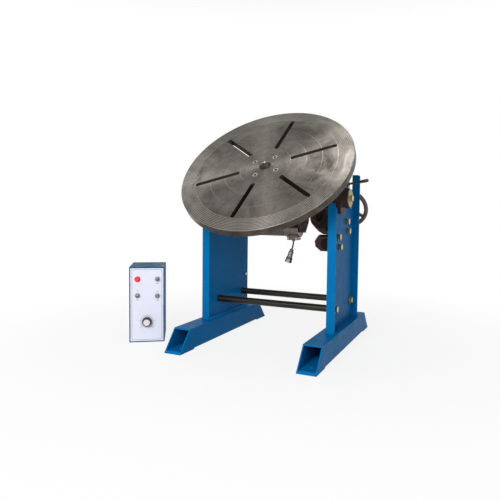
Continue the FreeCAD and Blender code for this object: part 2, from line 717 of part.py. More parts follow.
def worm_bushes():
    """Flanged bushes; the front one is closed at its end."""
    bore = TILT_SHAFT_R + RUN_GAP
    inner = BLOCK_HALF_SPAN - BLOCK_L / 2
    face = inner + BLOCK_L
    flanged = [(inner, bore), (inner, BLOCK_BUSH_R), (face, BLOCK_BUSH_R), (face, BLOCK_CAP_R),
               (face + BLOCK_CAP_T, BLOCK_CAP_R)]
    cap = [(-face - BLOCK_CAP_T, 0), (-face - 1, 0), (-face - 1, bore)]
    front = turned([(-a, r) for a, r in flanged] + cap, (0, 0, 0), Y_DIR)
    rear = turned(flanged + [(face + BLOCK_CAP_T, bore)], (0, 0, 0), Y_DIR)
    return Part.makeCompound([on_worm_shaft(front), on_worm_shaft(rear)])


# ---------------------------------------------------------------- hand wheel
def shaft_end():
    return WHEEL_AT + WHEEL_HUB_L / 2


def tilt_worm_shaft():
    front = -(BLOCK_HALF_SPAN + BLOCK_L / 2)
    stop = BLOCK_HALF_SPAN - BLOCK_L / 2 - END_GAP
    thread = cycled(worm(TILT_MODULE, TILT_WORM_PITCH_R, TILT_WORM_L, TILT_BACKLASH), 0)
    shaft = rod(TILT_SHAFT_R, shaft_end() - front, (0, front, 0), Y_DIR)
    for start in (-stop, stop - TILT_COLLAR_L):
        shaft = shaft.fuse(rod(TILT_COLLAR_R, TILT_COLLAR_L, (0, start, 0), Y_DIR))
    shaft = shaft.fuse(rod(WHEEL_THREAD_R, WHEEL_NUT_T + 3, (0, shaft_end() - 1, 0), Y_DIR))
    return on_worm_shaft(shaft.fuse(thread))


def crank_place():
    return polar(WHEEL_R - WHEEL_RIM_R, CRANK_ANGLE)


def handwheel():
    """Round rim, three spokes and a hub."""
    reach = WHEEL_R - WHEEL_RIM_R
    hub_start = (0, WHEEL_AT - WHEEL_HUB_L / 2, 0)
    wheel = Part.makeTorus(reach, WHEEL_RIM_R, V(0, WHEEL_AT, 0), V(0, 1, 0))
    wheel = wheel.fuse(rod(WHEEL_HUB_R, WHEEL_HUB_L, hub_start, Y_DIR))
    outline = [(0, -WHEEL_SPOKE_W / 2), (reach, -WHEEL_SPOKE_W / 3), (reach, WHEEL_SPOKE_W / 3),
               (0, WHEEL_SPOKE_W / 2)]
    for i in range(WHEEL_SPOKES):
        spoke = plate(outline, "Y", WHEEL_AT - WHEEL_SPOKE_T / 2, WHEEL_AT + WHEEL_SPOKE_T / 2)
        spoke.rotate(V(0, 0, 0), V(0, 1, 0), 360 / WHEEL_SPOKES * i + 30)
        wheel = wheel.fuse(spoke)
    wheel = wheel.cut(hole(TILT_SHAFT_R + SEAT_GAP, WHEEL_HUB_L, hub_start, Y_DIR))
    x, z = crank_place()
    return on_worm_shaft(wheel.cut(rod(CRANK_PIN_R + SEAT_GAP, 2 * WHEEL_RIM_R, (x, WHEEL_AT, z), Y_DIR)))


def handwheel_nut():
    seat = (0, shaft_end(), 0)
    nut = hexagon(WHEEL_NUT_AF, WHEEL_NUT_T, seat, Y_DIR)
    return on_worm_shaft(nut.cut(hole(WHEEL_THREAD_R + SEAT_GAP, WHEEL_NUT_T, seat, Y_DIR)))


def crank_pin():
    x, z = crank_place()
    end = WHEEL_AT + WHEEL_RIM_R + CRANK_L
    pin = rod(CRANK_PIN_R, end - WHEEL_AT, (x, WHEEL_AT, z), Y_DIR)
    return on_worm_shaft(pin.fuse(rod(CRANK_PIN_R + 2, 3, (x, end, z), Y_DIR)))


def crank_grip():
    """Grip that turns on the crank pin."""
    x, z = crank_place()
    bore = CRANK_PIN_R + RUN_GAP
    length = CRANK_L - 2 * END_GAP
    profile = [(0, bore), (0, CRANK_R * 0.75), (length * 0.25, CRANK_R * 0.8), (length * 0.65, CRANK_R),
               (length * 0.9, CRANK_R * 0.9), (length, CRANK_R * 0.65), (length, bore)]
    return on_worm_shaft(turned(profile, (x, WHEEL_AT + WHEEL_RIM_R + END_GAP, z), Y_DIR))


# ================================================================ cradle
def trunnion_bolt_places():
    return ring_of(TRUNNION_BOLT_COUNT, TRUNNION_BOLT_PCR, 45)


def barrel_bolt_places():
    return ring_of(BARREL_BOLTS, BARREL_BOLT_PCR, 30)


def plate_bolt_h():
    return PLATE_LOW + PLATE_T / 2


def arm():
    """Right-hand side plate, from the cross plate down past the rotation drive."""
    half = PLATE_HALF_L
    outline = [(-half, PLATE_LOW + PLATE_T), (half, PLATE_LOW + PLATE_T), (half, PLATE_LOW - 10), (52, -14),
               (38, -44), (-30, -88), (-78, -92), (-96, -68), (-90, -10)]
    solid = plate(outline, "X", ARM_X, ARM_OUT)
    solid = solid.cut(hole(TRUNNION_SEAT_R + SEAT_GAP, ARM_T, (ARM_X, 0, 0), X_DIR))
    for y, z in trunnion_bolt_places():
        solid = solid.cut(hole(M10[0] + BOLT_GAP, ARM_T, (ARM_X, y, z), X_DIR))
    for y in PLATE_BOLT_S:
        solid = solid.cut(hole(M10[0] + BOLT_GAP, ARM_T, (ARM_X, y, plate_bolt_h()), X_DIR))
    return solid


def cradle_plate():
    solid = block((-ARM_X, ARM_X), (-PLATE_HALF_L, PLATE_HALF_L), (PLATE_LOW, PLATE_LOW + PLATE_T))
    solid = solid.cut(hole(UPPER_BARREL_R + SEAT_GAP, PLATE_T, (0, 0, PLATE_LOW), Z_DIR))
    depth = M10[1] - BARREL_FLANGE_T + CUT
    for x, y in barrel_bolt_places():
        solid = solid.cut(rod(M10[0] + SEAT_GAP, depth, (x, y, PLATE_LOW), Z_DIR))
    depth = M10[1] - ARM_T + CUT
    for y in PLATE_BOLT_S:
        for side in (-1, 1):
            solid = solid.cut(rod(M10[0] + SEAT_GAP, depth, (side * ARM_X, y, plate_bolt_h()), (-side, 0, 0)))
    return on_head(solid)


def cradle_bolts():
    right = [hex_bolt(M10, (ARM_X, y, z), X_DIR) for y, z in trunnion_bolt_places()]
    right += [hex_bolt(M10, (ARM_OUT, y, plate_bolt_h()), LEFT) for y in PLATE_BOLT_S]
    bolts = right + [mirrored(bolt) for bolt in right]
    seat = PLATE_LOW - BARREL_FLANGE_T
    bolts += [hex_bolt(M10, (x, y, seat), Z_DIR) for x, y in barrel_bolt_places()]
    return Part.makeCompound([on_head(bolt) for bolt in bolts])


def flange_threads(solid):
    for y, z in trunnion_bolt_places():
        solid = solid.cut(rod(M10[0] + SEAT_GAP, M10[1] - ARM_T + CUT, (ARM_OUT, y, z), X_DIR))
    return solid


def trunnion_pin(start):
    """Stepped pin from the arm to the end washer."""
    profile = [(start, 0), (start, TRUNNION_SEAT_R), (TRUNNION_SHOULDER, TRUNNION_SEAT_R),
               (TRUNNION_SHOULDER, TRUNNION_R), (TRUNNION_END, TRUNNION_R), (TRUNNION_END, 0)]
    pin = turned(profile, (0, 0, 0), X_DIR)
    return pin.cut(rod(M12_LONG[0] + SEAT_GAP, M12_LONG[1], (TRUNNION_END, 0, 0), LEFT))


def left_trunnion():
    flange = rod(TRUNNION_FLANGE_R, TRUNNION_FLANGE_T, (ARM_OUT, 0, 0), X_DIR)
    return on_head(mirrored(flange_threads(trunnion_pin(ARM_X).fuse(flange))))


def end_washers():
    ring = tube(END_WASHER_R, M12_LONG[0] + BOLT_GAP, END_WASHER_T, (TRUNNION_END, 0, 0), X_DIR)
    return on_head(both_sides([ring]))


def end_bolts():
    return on_head(both_sides([hex_bolt(M12_LONG, (TRUNNION_END + END_WASHER_T, 0, 0), LEFT)]))


def tilt_quadrant():
    """Dished toothed sector bolted to the right arm, in mesh with the tilt worm at the stored tilt."""
    inboard = WORM_X - QUADRANT_FACE / 2
    dish = QUADRANT_DISH_X
    hub_end = TRUNNION_SHOULDER - END_GAP
    hub = turned([(ARM_OUT, 0), (ARM_OUT, TRUNNION_FLANGE_R), (FLANGE_OUT, TRUNNION_FLANGE_R),
                  (FLANGE_OUT, QUADRANT_NECK_R), (dish, QUADRANT_NECK_R), (dish, QUADRANT_HUB_R + 12),
                  (dish + 16, QUADRANT_HUB_R + 12), (dish + 26, QUADRANT_HUB_R), (hub_end, QUADRANT_HUB_R),
                  (hub_end, 0)], (0, 0, 0), X_DIR)
    rim = TILT_PITCH_R - QUADRANT_RIM_T
    section = [(dish, QUADRANT_NECK_R)]
    section += [(dish + out, TILT_PITCH_R - drop) for out, drop in QUADRANT_DISH_OUT]
    section += [(inboard, TILT_PITCH_R - QUADRANT_RIM_STEP), (inboard, QUADRANT_TIP_R),
                (QUADRANT_OUT_X, QUADRANT_TIP_R), (QUADRANT_OUT_X, rim), (inboard + 6, rim - 2)]
    section += [(dish + out, TILT_PITCH_R - drop) for out, drop in QUADRANT_DISH_IN]
    section += [(dish + QUADRANT_DISH_T, QUADRANT_NECK_R)]
    sweep = 360.0 / TILT_TEETH * (QUADRANT_SPACES + 0.5)
    sector = turned(section, (0, 0, 0), X_DIR, sweep)
    sector.rotate(V(0, 0, 0), V(1, 0, 0), -sweep / 2)
    solid = hub.fuse(sector)
    solid = solid.cut(hole(TRUNNION_SEAT_R + SEAT_GAP, hub_end - ARM_OUT, (ARM_OUT, 0, 0), X_DIR))
    solid.translate(V(-WORM_X, 0, 0))
    slope = TILT_MODULE / 2 / TILT_WORM_PITCH_R
    space = tooth_space(TILT_MODULE, TILT_TEETH, TILT_BACKLASH, QUADRANT_FACE, slope)
    half = QUADRANT_SPACES // 2
    solid = solid.cut(tooth_spaces(space, TILT_TEETH, range(-half, half + 1)))
    solid.translate(V(WORM_X, 0, 0))
    solid.rotate(V(0, 0, 0), V(1, 0, 0), WORM_INCLINE - TILT_REST)
    return on_head(flange_threads(solid))


# ---------------------------------------------------------------- spindle housing
def case_screw_places():
    return ring_of(CASE_SCREWS, (LOWER_BEARING[1] + LOWER_BARREL_R) / 2, 45)


def cover_screw_places():
    return ring_of(COVER_SCREWS, CAVITY_R + CASE_WALL / 2, 0)


def spindle_housing():
    """Cast barrel with a bolting flange, bored for the two spindle bearings."""
    flange_low = PLATE_LOW - BARREL_FLANGE_T
    cone_low = flange_low - (UPPER_BARREL_R - LOWER_BARREL_R)
    solid = turned([(BARREL_BOTTOM, 0), (BARREL_BOTTOM, LOWER_BARREL_R), (cone_low, LOWER_BARREL_R),
                    (flange_low, UPPER_BARREL_R), (flange_low, BARREL_FLANGE_R), (PLATE_LOW, BARREL_FLANGE_R),
                    (PLATE_LOW, UPPER_BARREL_R), (BARREL_TOP, UPPER_BARREL_R), (BARREL_TOP, 0)],
                   (0, 0, 0), Z_DIR)
    lower_seat = LOWER_BEARING[1] + SEAT_GAP
    upper_seat = UPPER_BEARING[1] + SEAT_GAP
    between = LOWER_BEARING[1] - 6
    bore = turned([(BARREL_BOTTOM - CUT, 0), (BARREL_BOTTOM - CUT, lower_seat),
                   (LOWER_BEARING_TOP, lower_seat), (LOWER_BEARING_TOP, between),
                   (UPPER_BEARING_LOW, between), (UPPER_BEARING_LOW, upper_seat),
                   (BARREL_TOP + CUT, upper_seat), (BARREL_TOP + CUT, 0)], (0, 0, 0), Z_DIR)
    solid = solid.cut(bore)
    for x, y in barrel_bolt_places():
        solid = solid.cut(hole(M10[0] + BOLT_GAP, BARREL_FLANGE_T, (x, y, flange_low), Z_DIR))
    for x, y in case_screw_places():
        solid = solid.cut(rod(M6[0] + SEAT_GAP, M6[1] - CASE_TOP_T + CUT, (x, y, BARREL_BOTTOM), Z_DIR))
    return on_head(solid)


def cradle_bearings():
    rings = []
    for size, low in ((UPPER_BEARING, UPPER_BEARING_LOW), (LOWER_BEARING, LOWER_BEARING_LOW)):
        rings.append(tube(size[1], size[0] + RUN_GAP, size[2], (0, 0, low), Z_DIR))
    for x in (LEFT_BEARING_X, RIGHT_BEARING_X):
        rings.append(tube(DRIVE_BEARING_R, DRIVE_JOURNAL_R + RUN_GAP, DRIVE_BEARING_W,
                          (x, -DRIVE_CENTRES, DRIVE_H), X_DIR))
    return Part.makeCompound([on_head(ring) for ring in rings])


# ---------------------------------------------------------------- rotation drive housing
def on_drive(x):
    return x, -DRIVE_CENTRES, DRIVE_H


def drive_case():
    """Cast case round the worm wheel, with a chamber for the worm across its front."""
    case_r = CAVITY_R + CASE_WALL
    span = CHAMBER_RIGHT - CHAMBER_LEFT
    solid = rod(case_r, BARREL_BOTTOM - CASE_BOTTOM, (0, 0, CASE_BOTTOM), Z_DIR)
    solid = solid.fuse(rod(CHAMBER_R, span, on_drive(CHAMBER_LEFT), X_DIR))
    solid = solid.fuse(block((CHAMBER_LEFT, CHAMBER_RIGHT), (-DRIVE_CENTRES, -case_r * 0.6),
                             (DRIVE_H - CHAMBER_R, DRIVE_H + CHAMBER_R)))
    cavity_h = BARREL_BOTTOM - CASE_TOP_T - CASE_BOTTOM + CUT
    solid = solid.cut(rod(CAVITY_R, cavity_h, (0, 0, CASE_BOTTOM - CUT), Z_DIR))
    solid = solid.cut(hole(CASE_MOUTH_R, CASE_TOP_T, (0, 0, BARREL_BOTTOM - CASE_TOP_T), Z_DIR))
    cavity_x = LEFT_BEARING_X + DRIVE_BEARING_W
    solid = solid.cut(rod(WORM_CAVITY_R, CHAMBER_RIGHT - cavity_x + CUT, on_drive(cavity_x), X_DIR))
    solid = solid.cut(rod(DRIVE_BEARING_R + SEAT_GAP, DRIVE_BEARING_W + CUT, on_drive(LEFT_BEARING_X), X_DIR))
    for x, y in case_screw_places():
        solid = solid.cut(hole(M6[0] + BOLT_GAP, CASE_TOP_T, (x, y, BARREL_BOTTOM - CASE_TOP_T), Z_DIR))
    for x, y in cover_screw_places():
        solid = solid.cut(rod(M6[0] + SEAT_GAP, M6[1] - COVER_T + CUT, (x, y, CASE_BOTTOM), Z_DIR))
    for y, z in motor_bolt_places():
        solid = solid.cut(rod(MOTOR_BOLT_R + SEAT_GAP, MOTOR_BOLT_REACH + CUT, (CHAMBER_RIGHT, y, z), LEFT))
    return on_head(solid)


def case_cover():
    low = CASE_BOTTOM - COVER_T
    solid = tube(CAVITY_R + CASE_WALL, SPINDLE_TAIL_R + BOLT_GAP, COVER_T, (0, 0, low), Z_DIR)
    for x, y in cover_screw_places():
        solid = solid.cut(hole(M6[0] + BOLT_GAP, COVER_T, (x, y, low), Z_DIR))
    return on_head(solid)


def case_screws():
    places = [(x, y, BARREL_BOTTOM - CASE_TOP_T) for x, y in case_screw_places()]
    places += [(x, y, CASE_BOTTOM - COVER_T) for x, y in cover_screw_places()]
    return Part.makeCompound([on_head(hex_bolt(M6, place, Z_DIR)) for place in places])


# ---------------------------------------------------------------- motor
def motor_bolt_places():
    return [(-DRIVE_CENTRES + y, DRIVE_H + z) for y, z in ring_of(2, MOTOR_BOLT_PCR, 90)]


def motor_front_x():
    return CHAMBER_RIGHT + MOTOR_FRONT_T


def motor_body():
    length = MOTOR_RIGHT - motor_front_x()
    return on_head(tube(MOTOR_R, MOTOR_R - MOTOR_WALL, length, on_drive(motor_front_x()), X_DIR))


def motor_end_caps():
    """Front cap with the worm bearing, hollowed to pass the gear case, and the plain rear cap."""
    front = rod(MOTOR_R, MOTOR_FRONT_T, on_drive(CHAMBER_RIGHT), X_DIR)
    front = front.cut(rod(CAVITY_R + CASE_WALL + END_GAP, 4 * MOTOR_R, (0, 0, DRIVE_H - 2 * MOTOR_R), Z_DIR))
    front = front.cut(hole(DRIVE_SHAFT_R + END_GAP, MOTOR_FRONT_T, on_drive(CHAMBER_RIGHT), X_DIR))
    front = front.cut(rod(DRIVE_BEARING_R + SEAT_GAP, MOTOR_FRONT_T, on_drive(RIGHT_BEARING_X), X_DIR))
    rear = rod(MOTOR_R, MOTOR_CAP_T, on_drive(MOTOR_RIGHT), X_DIR)
    for y, z in motor_bolt_places():
        front = front.cut(hole(MOTOR_BOLT_R + BOLT_GAP, MOTOR_FRONT_T, (CHAMBER_RIGHT, y, z), X_DIR))
        rear = rear.cut(hole(MOTOR_BOLT_R + BOLT_GAP, MOTOR_CAP_T, (MOTOR_RIGHT, y, z), X_DIR))
    return Part.makeCompound([on_head(front), on_head(rear)])


def motor_bolts():
    """Long bolts that hold both caps and the body to the drive case."""
    end = MOTOR_RIGHT + MOTOR_CAP_T
    bolts = []
    for y, z in motor_bolt_places():
        shank = rod(MOTOR_BOLT_R, end - CHAMBER_RIGHT + MOTOR_BOLT_REACH, (end, y, z), LEFT)
        head = rod(MOTOR_BOLT_HEAD_R, MOTOR_BOLT_HEAD_H - END_GAP, (end, y, z), X_DIR)
        bolts.append(on_head(shank.fuse(head)))
    return bolts


def motor_axis():
    """World height and depth of the motor axis at the stored tilt."""
    point = FreeCAD.Rotation(V(1, 0, 0), TILT_REST).multVec(V(0, -DRIVE_CENTRES, DRIVE_H))
    return TILT_Y + point.y, TILT_Z + point.z


def terminal_low():
    return motor_axis()[1] - MOTOR_R - TERMINAL_DROP


def terminal_screw_places():
    return [TERMINAL_X[0] + TERMINAL_BOSS / 2, TERMINAL_X[1] - TERMINAL_BOSS / 2]


def terminal_box():
    """Saddle box under the motor, with the gland of the lead."""
    y, z = motor_axis()
    low = terminal_low()
    half = TERMINAL_W / 2
    solid = block(TERMINAL_X, (y - half, y + half), (low, z - MOTOR_R * 0.6))
    solid = solid.fuse(rod(GLAND_R, GLAND_L, (LEAD_X, y, low), DOWN))
    solid = solid.cut(rod(MOTOR_R + SEAT_GAP, MOTOR_RIGHT, (0, y, z), X_DIR))
    solid = solid.cut(block((TERMINAL_X[0] + TERMINAL_BOSS, TERMINAL_X[1] - TERMINAL_BOSS),
                            (y - half + 3, y + half - 3), (low + 3, z)))
    solid = solid.cut(hole(LEAD_R + SEAT_GAP, GLAND_L + 3, (LEAD_X, y, low - GLAND_L), Z_DIR))
    for x in terminal_screw_places():
        solid = solid.cut(rod(MOTOR_BOLT_R + SEAT_GAP, 9, (x, y - half, low + TERMINAL_DROP / 2), Y_DIR))
    return solid


def motor_screws():
    y, _ = motor_axis()
    screws = motor_bolts()
    for x in terminal_screw_places():
        seat = (x, y - TERMINAL_W / 2, terminal_low() + TERMINAL_DROP / 2)
        screws.append(rod(MOTOR_BOLT_R, 8, seat, Y_DIR).fuse(rod(MOTOR_BOLT_HEAD_R, MOTOR_BOLT_HEAD_H, seat,
                                                                 (0, -1, 0))))
    return Part.makeCompound(screws)


# ---------------------------------------------------------------- motor lead
def lead_points():
    """Straight drop, one bend and a straight run to the plug: (x, z) of each joint."""
    lean = math.radians(LEAD_LEAN)
    top = terminal_low() - GLAND_L + LEAD_STRAIGHT[0]
    bend = terminal_low() - GLAND_L - 2.0
    after = (LEAD_X - LEAD_BEND_R * (1 - math.cos(lean)), bend - LEAD_BEND_R * math.sin(lean))
    middle = (LEAD_X - LEAD_BEND_R * (1 - math.cos(lean / 2)), bend - LEAD_BEND_R * math.sin(lean / 2))
    end = (after[0] - LEAD_STRAIGHT[1] * math.sin(lean), after[1] - LEAD_STRAIGHT[1] * math.cos(lean))
    return (LEAD_X, top), (LEAD_X, bend), middle, after, end


def motor_lead():
    y, _ = motor_axis()
    top, bend, middle, after, end = [V(x, y, z) for x, z in lead_points()]
    arc = Part.Arc(bend, middle, after).toShape()
    path = Part.Wire([Part.makeLine(top, bend), arc, Part.makeLine(after, end)])
    circle = Part.Wire([Part.makeCircle(LEAD_R, top, V(0, 0, 1))])
    return path.makePipeShell([circle], True, False)


def lead_plug():
    """Round multi-pin plug with a coupling ring, open at its end."""
    y, _ = motor_axis()
    end = lead_points()[-1]
    lean = math.radians(LEAD_LEAN)
    axis = (-math.sin(lean), 0, -math.cos(lean))
    ring = PLUG_RING_R
    start = -LEAD_STRAIGHT[1] / 3
    base = tuple(a + b * start for a, b in zip((end[0], y, end[1]), axis))
    length = PLUG_L - start
    profile = [(0, LEAD_R + SEAT_GAP), (0, 5.5), (3, 6.5), (9, 6.5), (9, 9), (length - 18, 9),
               (length - 18, ring - 1.5), (length - 16, ring - 1.5), (length - 4, ring), (length, ring),
               (length, ring - 2.5), (length - 12, ring - 2.5), (length - 12, 0), (-start, 0),
               (-start, LEAD_R + SEAT_GAP)]
    return turned(profile, base, axis)


# ================================================================ turning table
def table_screw_places():
    return ring_of(TABLE_SCREW_COUNT, TABLE_SCREW_PCR, TABLE_SCREW_ANGLE)


def table_slot(index):
    half = SLOT_W / 2
    low = TABLE_BACK_H - CUT
    height = TABLE_T + 2 * CUT
    slot = block((SLOT_IN_R + half, SLOT_OUT_R - half), (-half, half), (low, low + height))
    for x in (SLOT_IN_R + half, SLOT_OUT_R - half):
        slot = slot.fuse(rod(half, height, (x, 0, low), Z_DIR))
    slot.rotate(V(0, 0, 0), V(0, 0, 1), SLOT_ANGLE + 360 / SLOT_COUNT * index)
    return slot


def screw_seat():
    return TABLE_FACE_H - SCREW_SINK - TABLE_SCREW_HEAD_H


def table_disc():
    rim = TABLE_CHAMFER
    disc = turned([(TABLE_BACK_H, TABLE_BORE_R), (TABLE_BACK_H, TABLE_R - rim), (TABLE_BACK_H + rim, TABLE_R),
                   (TABLE_FACE_H - rim, TABLE_R), (TABLE_FACE_H, TABLE_R - rim),
                   (TABLE_FACE_H, TABLE_BORE_R + rim), (TABLE_FACE_H - rim, TABLE_BORE_R)], (0, 0, 0), Z_DIR)
    cutters = [table_slot(i) for i in range(SLOT_COUNT)]
    for radius in GROOVE_RADII:
        low = TABLE_FACE_H - GROOVE_DEPTH
        cutters.append(turned([(low, radius - GROOVE_W / 2), (low, radius + GROOVE_W / 2),
                               (TABLE_FACE_H + CUT, radius + GROOVE_W / 2),
                               (TABLE_FACE_H + CUT, radius - GROOVE_W / 2)], (0, 0, 0), Z_DIR))
    for x, y in table_screw_places():
        cutters.append(rod(TABLE_SCREW_HEAD_R + BOLT_GAP, TABLE_T, (x, y, screw_seat()), Z_DIR))
        cutters.append(rod(TABLE_SCREW_R + BOLT_GAP, TABLE_T, (x, y, TABLE_BACK_H - CUT), Z_DIR))
    return on_head(disc.cut(cutters))


def table_screws():
    size = (TABLE_SCREW_R, TABLE_SCREW_L, 0, TABLE_SCREW_HEAD_H)
    return Part.makeCompound([on_head(cap_screw(size, (x, y, screw_seat()), DOWN, TABLE_SCREW_HEAD_R,
                                                TABLE_SCREW_SOCKET_AF)) for x, y in table_screw_places()])


def spindle():
    """Hollow spindle with the table flange at its top and the worm wheel's seat on its tail."""
    journal_low = LOWER_BEARING_LOW - END_GAP
    bore_low = TABLE_FACE_H - TABLE_BORE_DEPTH
    lift = UPPER_BEARING_TOP + END_GAP
    rest = LOWER_BEARING_TOP + END_GAP
    profile = [(SPINDLE_END, SPINDLE_BORE_R), (SPINDLE_END, SPINDLE_TAIL_R), (journal_low, SPINDLE_TAIL_R),
               (journal_low, LOWER_BEARING[0]), (rest, LOWER_BEARING[0]), (rest, SPINDLE_BODY_R),
               (UPPER_BEARING_LOW - CUT, SPINDLE_BODY_R), (UPPER_BEARING_LOW - CUT, UPPER_BEARING[0]),
               (lift, UPPER_BEARING[0]), (lift, SPINDLE_SHOULDER_R), (SPINDLE_FLANGE_LOW, SPINDLE_SHOULDER_R),
               (SPINDLE_FLANGE_LOW, SPINDLE_FLANGE_R), (TABLE_BACK_H, SPINDLE_FLANGE_R),
               (TABLE_BACK_H, TABLE_BORE_R), (bore_low, TABLE_BORE_R), (bore_low, SPINDLE_BORE_R)]
    shaft = turned(profile, (0, 0, 0), Z_DIR)
    for x, y in table_screw_places():
        shaft = shaft.cut(hole(TABLE_SCREW_R + SEAT_GAP, SPINDLE_FLANGE_T, (x, y, SPINDLE_FLANGE_LOW), Z_DIR))
    return on_head(shaft)


def wheel_low():
    return DRIVE_H - DRIVE_FACE / 2


def spindle_nut():
    low = wheel_low() - SPINDLE_NUT_T
    ring = tube(SPINDLE_NUT_R, SPINDLE_TAIL_R + SEAT_GAP, SPINDLE_NUT_T, (0, 0, low), Z_DIR)
    for i in range(4):
        slot = block((SPINDLE_NUT_R - 3, SPINDLE_NUT_R + CUT), (-3, 3),
                     (low - CUT, low + SPINDLE_NUT_T + CUT))
        slot.rotate(V(0, 0, 0), V(0, 0, 1), 90 * i + 45)
        ring = ring.cut(slot)
    return on_head(ring)


def drive_wheel():
    """Worm wheel on the spindle tail, in mesh with the drive worm at rest."""
    half = DRIVE_FACE / 2
    hub_end = LOWER_BEARING_LOW - END_GAP - DRIVE_H
    solid = rod(DRIVE_PITCH_R + DRIVE_MODULE, DRIVE_FACE, (-half, 0, 0), X_DIR)
    solid = solid.fuse(rod(DRIVE_HUB_R, hub_end, (0, 0, 0), X_DIR))
    solid = solid.cut(hole(SPINDLE_TAIL_R + SEAT_GAP, hub_end + half, (-half, 0, 0), X_DIR))
    slope = DRIVE_MODULE / 2 / DRIVE_WORM_PITCH_R
    space = tooth_space(DRIVE_MODULE, DRIVE_TEETH, DRIVE_BACKLASH, DRIVE_FACE, slope)
    solid = solid.cut(tooth_spaces(space, DRIVE_TEETH, range(DRIVE_TEETH)))
    return on_head(cycled(solid, DRIVE_H))


def drive_worm():
    """Worm and armature on one shaft."""
    left = LEFT_BEARING_X + END_GAP
    left_stop = LEFT_BEARING_X + DRIVE_BEARING_W + END_GAP
    right_stop = RIGHT_BEARING_X - END_GAP
    thread = cycled(worm(DRIVE_MODULE, DRIVE_WORM_PITCH_R, DRIVE_WORM_L, DRIVE_BACKLASH), 0)
    thread = cycled(thread, DRIVE_H)
    thread.translate(V(0, -DRIVE_CENTRES, 0))
    shaft = rod(DRIVE_JOURNAL_R, ROTOR_X[1] + 2 - left, on_drive(left), X_DIR)
    shaft = shaft.fuse(rod(DRIVE_SHAFT_R, right_stop - left_stop, on_drive(left_stop), X_DIR))
    shaft = shaft.fuse(rod(ROTOR_R, ROTOR_X[1] - ROTOR_X[0], on_drive(ROTOR_X[0]), X_DIR))
    return on_head(shaft.fuse(thread))


# ================================================================ control box
def box_case():
    half = BOX_W / 2
    wall = BOX_WALL
    edge = PANEL_EDGE - 0.2
    solid = block((-half, half), (0, BOX_D), (0, BOX_H))
    solid = solid.cut(block((-half + wall, half - wall), (PANEL_T + wall, BOX_D - wall),
                            (wall, BOX_H - wall)))
    solid = solid.cut(block((-half + edge, half - edge), (-CUT, PANEL_T), (edge, BOX_H - edge)))
    lip = PANEL_EDGE + BOX_LIP
    solid = solid.cut(block((-half + lip, half - lip), (-CUT, BOX_D / 2), (lip, BOX_H - lip)))
    for at, radius in ((SOCKET_AT, SOCKET_BODY_R), (INLET_AT, INLET_R)):
        solid = solid.cut(hole(radius + SEAT_GAP, wall, (at[0], BOX_D - wall, at[1]), Y_DIR))
    for x, y in box_screw_places():
        solid = solid.cut(rod(BOX_SCREW_R + SEAT_GAP, 2 * wall, (x, y, BOX_H + CUT), DOWN))
    return on_box(solid)


def box_screw_places():
    return [(BOX_W / 2 - 6, BOX_D * 0.2), (BOX_W / 2 - 6, BOX_D * 0.8)]


def box_screws():
    screws = []
    for x, y in box_screw_places():
        shank = rod(BOX_SCREW_R, 6, (x, y, BOX_H), DOWN)
        screws.append(on_box(shank.fuse(rod(BOX_SCREW_HEAD_R, BOX_SCREW_HEAD_H, (x, y, BOX_H), Z_DIR))))
    return Part.makeCompound(screws)


def box_panel():
    half = BOX_W / 2 - PANEL_EDGE
    solid = block((-half, half), (0, PANEL_T), (PANEL_EDGE, BOX_H - PANEL_EDGE))
    holes = [(LAMP_AT, LAMP_R + SEAT_GAP), (KNOB_AT, KNOB_SHAFT_R + RUN_GAP)]
    holes += [(at, TOGGLE_BUSH_R + SEAT_GAP) for at in TOGGLES]
    for at, radius in holes:
        solid = solid.cut(hole(radius, PANEL_T, (at[0], 0, at[1]), Y_DIR))
    return on_box(solid)


def signal_lamp():
    profile = [(14, 0), (14, LAMP_R), (0, LAMP_R), (0, LAMP_RIM_R), (-2, LAMP_RIM_R), (-2.5, LAMP_R - 0.5),
               (-5.5, LAMP_R - 2), (-7.5, LAMP_R - 5), (-8, 0)]
    return on_box(turned(profile, (LAMP_AT[0], 0, LAMP_AT[1]), Y_DIR))


def toggle_bushes():
    bodies = []
    for x, z in TOGGLES:
        nut = hexagon(TOGGLE_NUT_AF, TOGGLE_NUT_T, (x, 0, z), (0, -1, 0))
        neck = rod(TOGGLE_BUSH_R, TOGGLE_BUSH_L + 8, (x, -TOGGLE_BUSH_L, z), Y_DIR)
        body = nut.fuse(neck).fuse(block((x - 6, x + 6), (6, 22), (z - 9, z + 9)))
        bore = rod(TOGGLE_BORE_R, TOGGLE_BUSH_L + 6, (x, -TOGGLE_BUSH_L - CUT, z), Y_DIR)
        bodies.append(on_box(body.cut(bore)))
    return Part.makeCompound(bodies)


def toggle_lever(index):
    """Bat lever that rocks about its ball in the mouth of the bush."""
    x, z = TOGGLES[index]
    profile = [(0, 0), (0, TOGGLE_LEVER_R), (TOGGLE_LEVER_L, TOGGLE_TIP_R),
               (TOGGLE_LEVER_L + 1.5, TOGGLE_TIP_R - 1), (TOGGLE_LEVER_L + 1.5, 0)]
    lever = turned(profile, (0, 0, 0), (0, -1, 0)).fuse(Part.makeSphere(TOGGLE_BORE_R - 0.5))
    lever.rotate(V(0, 0, 0), V(1, 0, 0), -TOGGLE_REST)
    lever.translate(V(x, 0, z))
    return on_box(lever)


